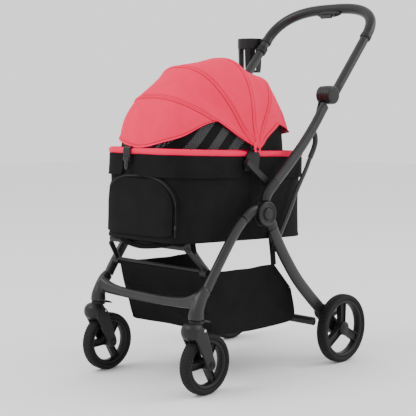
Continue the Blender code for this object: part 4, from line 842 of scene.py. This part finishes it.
def patch(name, s0, s1, top, low, round_s, round_z, out=0.003, thick=0.0014, seed=1, hem=0.0012,
        body="carrier", stands_for=(), wave=0.0006):
    """A second layer on the wall from s0 to s1: its lower corners, and the upper ones where round_z
    is a pair, are quarter ellipses; a hem stands proud round its edge."""
    u = np.linspace(0, 1, 121)[None, :]
    v = np.linspace(0, 1, 41)[:, None]
    near = np.clip(np.minimum(u, 1 - u) * (s1 - s0) / round_s, 0, 1)
    bend = 1 - np.sqrt(np.clip(1 - (1 - near) ** 2, 0, 1))
    rz_low, rz_top = round_z if isinstance(round_z, tuple) else (round_z, 0)
    z0, z1 = low + rz_low * bend, top - rz_top * bend
    z = z0 + (z1 - z0) * v
    s = s0 + (s1 - s0) * u + 0 * v
    above = (1 - v) * (z1 - z0) if rz_top else 9
    edge = np.minimum(np.minimum(u, 1 - u) * (s1 - s0), np.minimum(v * (z1 - z0), above))
    lift = hem * bell(edge - 0.0035, 0.0022) - 0.5 * hem * bell(edge - 0.0068, 0.0012)
    base = out + wave * ripple(s * 60, z * 60, seed)
    front = on_wall(s, base + thick + lift, z)
    back = on_wall(s, out - thick, z)
    ring = np.concatenate([front, back[::-1]])
    rim = np.concatenate([front[:, :1], back[:, :1]], 1), np.concatenate([back[:, -1:], front[:, -1:]], 1)
    obj = piece(name, [(ring, True, False), (rim[0], False, False), (rim[1], False, False)], BLACK, body,
        stands_for, angle=50)
    return obj


CLIP_X = -0.036
low_edge = TOP - 0.0575
patch("skirt_front_right", CLIP_X + 0.024, side_at - 0.036, TOP + 0.001, low_edge, 0.02, 0.016, seed=4)
patch("skirt_front_left", AROUND - side_at + 0.036, AROUND + CLIP_X - 0.024, TOP + 0.001, low_edge, 0.02,
    0.016, seed=5)
patch("skirt_rear", side_at + 0.024, AROUND - side_at - 0.024, TOP + 0.001, low_edge, 0.02, 0.016, seed=6)

# ---- Padded rim -----------------------------------------------------------------------------
# A steel hoop in a foam tube covered in the canopy's cloth. It is broken at the side brackets,
# and the cover puckers where it is drawn round the corners.
HOOP, HOOP_RUN = outline(HALF - 0.001, FRONT + 0.001, REAR - 0.001, 6.5)
gap_front = float(np.interp(-0.022, HOOP[: len(HOOP) // 2, 1], HOOP_RUN[: len(HOOP) // 2]))
gap_rear = float(np.interp(0.02, HOOP[: len(HOOP) // 2, 1], HOOP_RUN[: len(HOOP) // 2]))
whole = HOOP_RUN[-1]
PADS = (("rim_pad_front", -gap_front, gap_front, 2), ("rim_pad_rear", gap_rear, whole - gap_rear, 8))
CORNERS = [corner + step for corner in (-0.205, 0.205) for step in (-0.013, 0.0, 0.012)]
for name, start, end, seed in PADS:
    s = np.linspace(start, end, 420)
    line = np.stack([np.interp(s % whole, HOOP_RUN, HOOP[:, 0]), np.interp(s % whole, HOOP_RUN, HOOP[:, 1]),
        0 * s - 0.013], 1)
    pad, _, _ = rod(line, 0.0091, 0.0089, side=(0, 0, 1), columns=48, blunt=0.003)
    heart = pad.mean(1, keepdims=True)
    a = np.linspace(0, 2 * math.pi, 48, endpoint=False)[None, :]
    run = np.concatenate([s[:1], s[:1], s, s[-1:], s[-1:]])[:, None]
    puckers = 0
    rolls = np.random.default_rng(seed)
    for at in (*rolls.uniform(start, end, 9), *CORNERS):
        puckers = puckers + bell(run - at + 0.006 * np.sin(a), 0.0019) * (0.6 + 0.4 * np.sin(a + at * 90))
    size = 1 - 0.11 * np.clip(puckers, 0, 1) + 0.022 * ripple(run * 70, a, seed)
    pad = heart + (pad - heart) * size[..., None]
    obj = piece(name, [(tilted(pad), False, True)], PINK, "carrier", ["rim_ring"], angle=80)

# ---- Front clip and door --------------------------------------------------------------------
# A webbing tab over the rim with a moulded buckle tongue, and below it a round-cornered door in
# the front wall, closed by a zip that runs round it between two tapes.
clip_line = [(0, FRONT + 0.004, -0.003), (0, FRONT - 0.004, -0.0018), (0, FRONT - 0.0118, -0.006),
    (0, FRONT - 0.0125, -0.02), (0, FRONT - 0.0112, -0.042)]
tab = rod(bent(clip_line, 8), 0.0138, 0.0015, power=6, columns=40)
tongue = slab(bar_outline(-0.04, 0, 0.008, -0.0575, 0, 0.007), [(-0.0036, 0.0012), (-0.0024, 0),
    (0.0018, 0), (0.003, 0.0012)])[0]
tongue = np.stack([tongue[..., 2], tongue[..., 0] + FRONT - 0.012, tongue[..., 1]], -1)
button = egg((0, FRONT - 0.0148, -0.053), (0.004, 0.0022, 0.0048))[0]
keeper = rod(np.linspace((-0.0118, FRONT - 0.0135, -0.0345), (0.0118, FRONT - 0.0135, -0.0345), 9), 0.0042,
    0.0034, side=(0, 0, 1), power=4, columns=24)[0]
parts = [(tilted(grid + np.array((CLIP_X, 0, 0))), False, True) for grid in (tab[0], tongue, button,
    keeper)]
piece("front_clip_buckle", parts, HOOD_PLASTIC, "carrier", ["front_clip"], angle=50)

DOOR_S, DOOR_TOP, DOOR_LOW = 0.128, -0.086, BOTTOM + 0.015
patch("front_door_panel", -DOOR_S, DOOR_S, DOOR_TOP, DOOR_LOW, 0.078, (0.01, 0.076), out=0.001,
    thick=0.0026, seed=11, hem=0.001, body="door", stands_for=["front_door"], wave=0.0009)


def door_edge(grow, count=400):
    """The door's outline, `grow` outside it: two uprights, and a top whose corners are quarter ellipses."""
    a = np.linspace(math.pi, 0, count // 2)
    u = np.sign(np.cos(a)) * np.abs(np.cos(a)) ** 0.72
    arc_s, arc_z = (DOOR_S + grow) * u, DOOR_TOP + grow - 0.084 * (1 - np.abs(np.sin(a)) ** 0.86)
    z = np.linspace(DOOR_LOW + 0.002, float(arc_z[0]), count // 4, endpoint=False)
    s = np.concatenate([np.full(len(z), -DOOR_S - grow), arc_s, np.full(len(z), DOOR_S + grow)])
    return s, np.concatenate([z, arc_z, z[::-1]])


grids = []
for grow, size, high in ((0.0042, 0.003, 0.001), (0.0105, 0.003, 0.001)):
    s, z = door_edge(grow)
    grids.append(rod(on_wall(s, 0.0012, z), size, high, side=(0, 0, 1), power=2.5, columns=14))
piece("door_zip_tapes", grids, BLACK, "carrier", angle=70)
s, z = door_edge(0.0073)
path = on_wall(s, 0.002, z)
teeth = 0.0014 + 0.0004 * np.sign(np.sin(np.arange(len(path)) * math.pi / 2 + 0.5))
grids = [rod(path, teeth, 0.001, side=(0, 0, 1), columns=10)]
pull = on_wall(np.full(9, DOOR_S + 0.0073), np.linspace(0.0042, 0.0052, 9), np.linspace(DOOR_LOW + 0.026,
    DOOR_LOW + 0.002, 9))
grids.append(rod(pull, 0.0032, 0.0012, side=(0.5, -0.85, 0), power=3, columns=20))
grids.append(rod(on_wall(np.full(5, DOOR_S + 0.0073), 0.004, np.linspace(DOOR_LOW + 0.034, DOOR_LOW + 0.022,
    5)), 0.0042, 0.0026, side=(0.5, -0.85, 0), power=3, columns=20))
piece("door_zip", grids, HOOD_PLASTIC, "carrier", angle=50)

# ---- Canopy ---------------------------------------------------------------------------------
# Five gores of pink cloth meet over steel bows in stitched sleeves. Between the bows the cloth is
# drawn hollow; all of it gathers at the side rivets. Black net closes the front, black cloth the back.


def canopy(phi, w, shrink):
    """The stretched cloth: phi turns it round the rivets, w runs from one rivet over to the other.
    Each bow is a superellipse, and its legs flare out to the rivets."""
    t = math.pi * np.where(w < 0.5, 0.5 * np.abs(2 * w) ** 1.7, 1 - 0.5 * np.abs(2 - 2 * w) ** 1.7)
    half = np.interp(phi, (0, 60, 95), (0.1575, 0.1575, 0.166)) - shrink
    power = np.interp(phi, (4, 30, 60), (3.4, 2.5, 2.4))
    reach = np.interp(phi, (0, 4, 30, 60, 95, 125, 152, 180), (0.272, 0.272, 0.27, 0.255, 0.253, 0.256,
        0.268, 0.258)) - shrink
    c, s = np.cos(t), np.clip(np.sin(t), 0, 1)
    along = reach * s ** (2 / power)
    x = np.sign(c) * (half * np.abs(c) ** (2 / power) + 0.022 * bell(along, 0.045))
    a = np.radians(phi)
    return np.stack([x, -along * np.cos(a), along * np.sin(a)], -1), along, c


def gore(name, phi0, phi1, hollow, body, joint=None, cloth=PINK, inset=0.0, drop0=0.0,
        drop1=0.0, seed=1, stands_for=("canopy_cloth",), sleeve=0.0026):
    """Cloth between two bows. hollow is how deep it is drawn in halfway; drop0 and drop1 turn its
    free edge further away near the middle of the canopy; a raised sleeve follows each bow."""
    w = np.linspace(0, 1, 161)[None, :]
    u = 0.5 - 0.5 * np.cos(np.linspace(0, math.pi, 81))[:, None]
    _, _, c = canopy(0 * u + phi0, w, 0)
    q = np.minimum(1, np.abs(c) / 0.895)
    ease = 1 - 0.3 * q - 0.7 * q ** 9
    a0, a1 = phi0 - drop0 * ease, phi1 + drop1 * ease
    phi = a0 + (a1 - a0) * u
    _, along, _ = canopy(phi, w, inset)
    from0, from1 = along * np.radians(phi - a0), along * np.radians(a1 - phi)
    ridge = sum(sleeve * np.exp(-((d / 0.0044) ** 4)) - 0.5 * sleeve * bell(d - 0.0068, 0.0015)
        for d in (from0, from1))
    span = np.clip(along / 0.2, 0, 1) ** 1.3
    draw = hollow * np.sin(math.pi * u) ** 1.2 * span
    crease = 0.0016 * ripple(w * 26, u * 3.2 + w * 9, seed) * np.sin(math.pi * u) * span
    gather = 0.0008 * np.sin(u * 19 + seed) * bell(along - 0.045, 0.035) * np.sin(math.pi * u)
    p, _, _ = canopy(phi, w, inset + draw - ridge * np.clip(along / 0.03, 0, 1) + crease + gather)
    past_gather = np.clip(along / 0.06, 0, 1)
    lines = sum(bell(d - 0.0066, 0.001) for d in (from0, from1)) * past_gather
    lines = lines + sum(bell(d, 0.0007) for d in (from0, from1)) * past_gather
    lines = np.clip(lines, 0, 1) * (0.75 if sleeve else 0.0)
    obj = piece(name, [(tilted(p), False, False)], cloth, body, stands_for, angle=75, seams=lines)
    if joint:
        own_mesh(obj)
    return obj


gore("canopy_gore_front", 29.5, 30.0, -0.0030, "bow_front", "canopy_fold", drop0=30.5, seed=3)
gore("canopy_gore_second", 30, 60, 0.0100, "bow_middle", "canopy_fold", seed=5)
gore("canopy_gore_third", 60, 95, 0.0110, "bow_top", "canopy_fold", seed=7)
gore("canopy_gore_fourth", 95, 125, 0.0120, "carrier", "canopy_fold", seed=9)
gore("canopy_gore_rear", 125, 150, 0.0090, "carrier", "canopy_fold", drop1=22, seed=12)
NET = woven("black_net", (0.0015, 0.0015, 0.0015), (0.008, 0.008, 0.008), 0.8, 0.0024, 0.003,
    Specular_IOR_Level=0.12)
net_tree = NET.node_tree
net_xyz = node(net_tree, "SeparateXYZ", {"Vector": node(net_tree, "TexCoord").outputs["Object"]})
# painted sheen: diagonal bands of lighter dots on the black net, where its threads catch the light
band_at = calc(net_tree, "SUBTRACT", net_xyz.outputs[1], net_xyz.outputs[2])
rise_at = calc(net_tree, "ADD", net_xyz.outputs[1], net_xyz.outputs[2])
broad = calc(net_tree, "GREATER_THAN", calc(net_tree, "SINE", calc(net_tree, "MULTIPLY", band_at, 88.0)),
    0.05)
loops = calc(net_tree, "MULTIPLY", calc(net_tree, "SINE", calc(net_tree, "MULTIPLY", band_at, 900.0)),
    calc(net_tree, "SINE", calc(net_tree, "MULTIPLY", rise_at, 480.0)))
shine = calc(net_tree, "MULTIPLY", broad, calc(net_tree, "GREATER_THAN", loops, 0.16))
net_shader = net_tree.nodes["Principled BSDF"]
net_tone = net_shader.inputs["Base Color"].links[0].from_socket
net_tree.links.new(mixed(net_tree, shine, net_tone, (0.11, 0.11, 0.115, 1)),
    net_shader.inputs["Base Color"])
gore("canopy_window_front", -2.2, 30, 0.003, "bow_front", "canopy_fold", cloth=NET, inset=0.0042,
    seed=15, stands_for=(), sleeve=0.0)
gore("canopy_window_rear", 151, 182, 0.004, "carrier", cloth=BLACK, inset=0.0150, seed=16,
    stands_for=(), sleeve=0.0)

for side, s in SIDES:
    x = s * (HALF + 0.0235)
    tag = np.array([(-0.0135, 0.016), (-0.0145, 0.006), (-0.0125, -0.004), (-0.0085, -0.0088),
        (-0.004, -0.0082), (0.0, -0.0058), (0.004, -0.0082), (0.0085, -0.0088), (0.0125, -0.004),
        (0.0145, 0.006), (0.0135, 0.016), (0.0, 0.024)])
    tag = bent(np.vstack([tag, tag[:1]]), 6)[:-1]
    a, b = sorted((x, x + s * 0.0016))
    grid, _, wrap = slab(tag, [(a, 0.0006), (a + 0.0004, 0), (b - 0.0006, 0), (b, 0.001)])
    obj = piece(f"canopy_scallop_{side}", [(tilted(grid), False, wrap)], PINK, "carrier")
    stud = rounded_profile([(s * 0.179, 0), (s * 0.179, 0.0045), (s * 0.1838, 0.0052), (s * 0.1852, 0.0034),
        (s * 0.1856, 0)], 0.001, 4)
    piece(f"canopy_stud_{side}", [(tilted(spun(stud, (0, 0, 0), 40)[0]), False, True)], HOOD_PLASTIC,
        "carrier")

# ---- Basket ---------------------------------------------------------------------------------
# A sling of black polyester between the legs: its front hangs from a rod, its sides are bound
# along the top, and straps tie it up to the frame. It sags and creases between them.
SLING = [(-0.333, 0.317), (-0.32, 0.26), (-0.302, 0.205), (-0.288, 0.16), (-0.27, 0.142), (-0.16, 0.133),
    (-0.06, 0.132), (0.03, 0.135), (0.052, 0.145), (0.054, 0.17), (0.044, 0.208), (0.037, 0.232)]
track, even = evened(bent(SLING, 12), 141)
track = track[:, None, :]
BASKET_X = 0.1615
u = np.linspace(-1, 1, 81)[None, :]
slope = np.gradient(track[:, 0], axis=0)
slope = slope / np.linalg.norm(slope, axis=1)[:, None]
across = np.stack([-slope[:, 1], slope[:, 0]], 1)[:, None, :]
far = (even / even[-1])[:, None]
waves = ripple(u * 5, far * 15, 21)
sag = 0.007 * (1 - u ** 2) * np.sin(math.pi * np.clip(far, 0, 1)) + 0.0042 * waves * (1 - u ** 8)
fold = 0.005 * bell(far - 0.16 - 0.06 * u, 0.014) - 0.0035 * bell(far - 0.2 - 0.1 * np.abs(u), 0.012)
ends = np.sin(math.pi * np.clip(far, 0, 1)) ** 0.4
yz = track + across * ((sag * 0.6 + fold * (1 - u ** 8)) * ends)[..., None]
sling = np.concatenate([np.broadcast_to(BASKET_X * u[..., None], (141, 81, 1)), yz], -1)
grids = [(sling, False, False)]
v = np.linspace(0, 1, 57)[None, :]
top_y = np.interp(far, (0, 0.5, 1), (-0.333, -0.15, 0.037))
top_z = 0.317 + (0.313 - 0.317) * far - 0.08 * np.clip((far - 0.8) / 0.2, 0, 1)
arch = np.sin(math.pi * far)
top_z = top_z + 0.0014 * ripple(far * 26, far * 3, 44) * arch - 0.006 * arch
swell = np.sin(math.pi * v)
for s in (1, -1):
    foot = sling[:, -1 if s > 0 else 0, 1:]
    y = foot[:, :1] + (top_y - foot[:, :1]) * v
    z = foot[:, 1:] + (top_z - foot[:, 1:]) * v
    waves = ripple(y * 34, z * 30, 30 + s)
    tuck = bell(y + 0.272 - (z - 0.14) * -0.62, 0.0022)
    x = s * (BASKET_X - 0.0055 * swell - 0.0034 * (1 + waves) * swell ** 0.5)
    x = x + s * 0.0012 * bell(v - 0.965, 0.012) - s * 0.0022 * tuck * (v < 0.9)
    grids.append((np.stack([x, y, z], -1), False, False))
obj = piece("basket_sling", grids, BLACK, "frame", ["basket"], angle=80)
for side, s in SIDES:
    strap = [(s * 0.16, -0.037, 0.306), (s * 0.1608, -0.042, 0.34), (s * 0.161, -0.048, 0.378),
        (s * 0.1615, -0.052, 0.406)]
    obj = piece(f"basket_strap_{side}", [rod(bent(strap, 8), 0.011, 0.0007, side=(0, 1, 0), power=5,
        columns=24)], BLACK, "frame")
loop = bent([(-0.1, -0.38, 0.392), (-0.07, -0.385, 0.384), (-0.01, -0.388, 0.378), (0.06, -0.385, 0.385),
    (0.095, -0.38, 0.3925)], 8)
obj = piece("carrier_pull_loop", [rod(loop, 0.007, 0.0009, side=(0, 0.3, 1), power=5, columns=24)], BLACK,
    "carrier")

# ---- Small fittings -------------------------------------------------------------------------
# Steel bows, pegs and links that show between the larger parts keep their plain forms.
for name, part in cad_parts.items():
    if part.hide_render:
        continue
    material = HOOD_PLASTIC
    if name.startswith("bow_"):
        material = STEEL
    if name.startswith(("carrier_hanger", "front_support", "basket_rod")):
        material = NYLON
    part.data.materials.clear()
    part.data.materials.append(material)
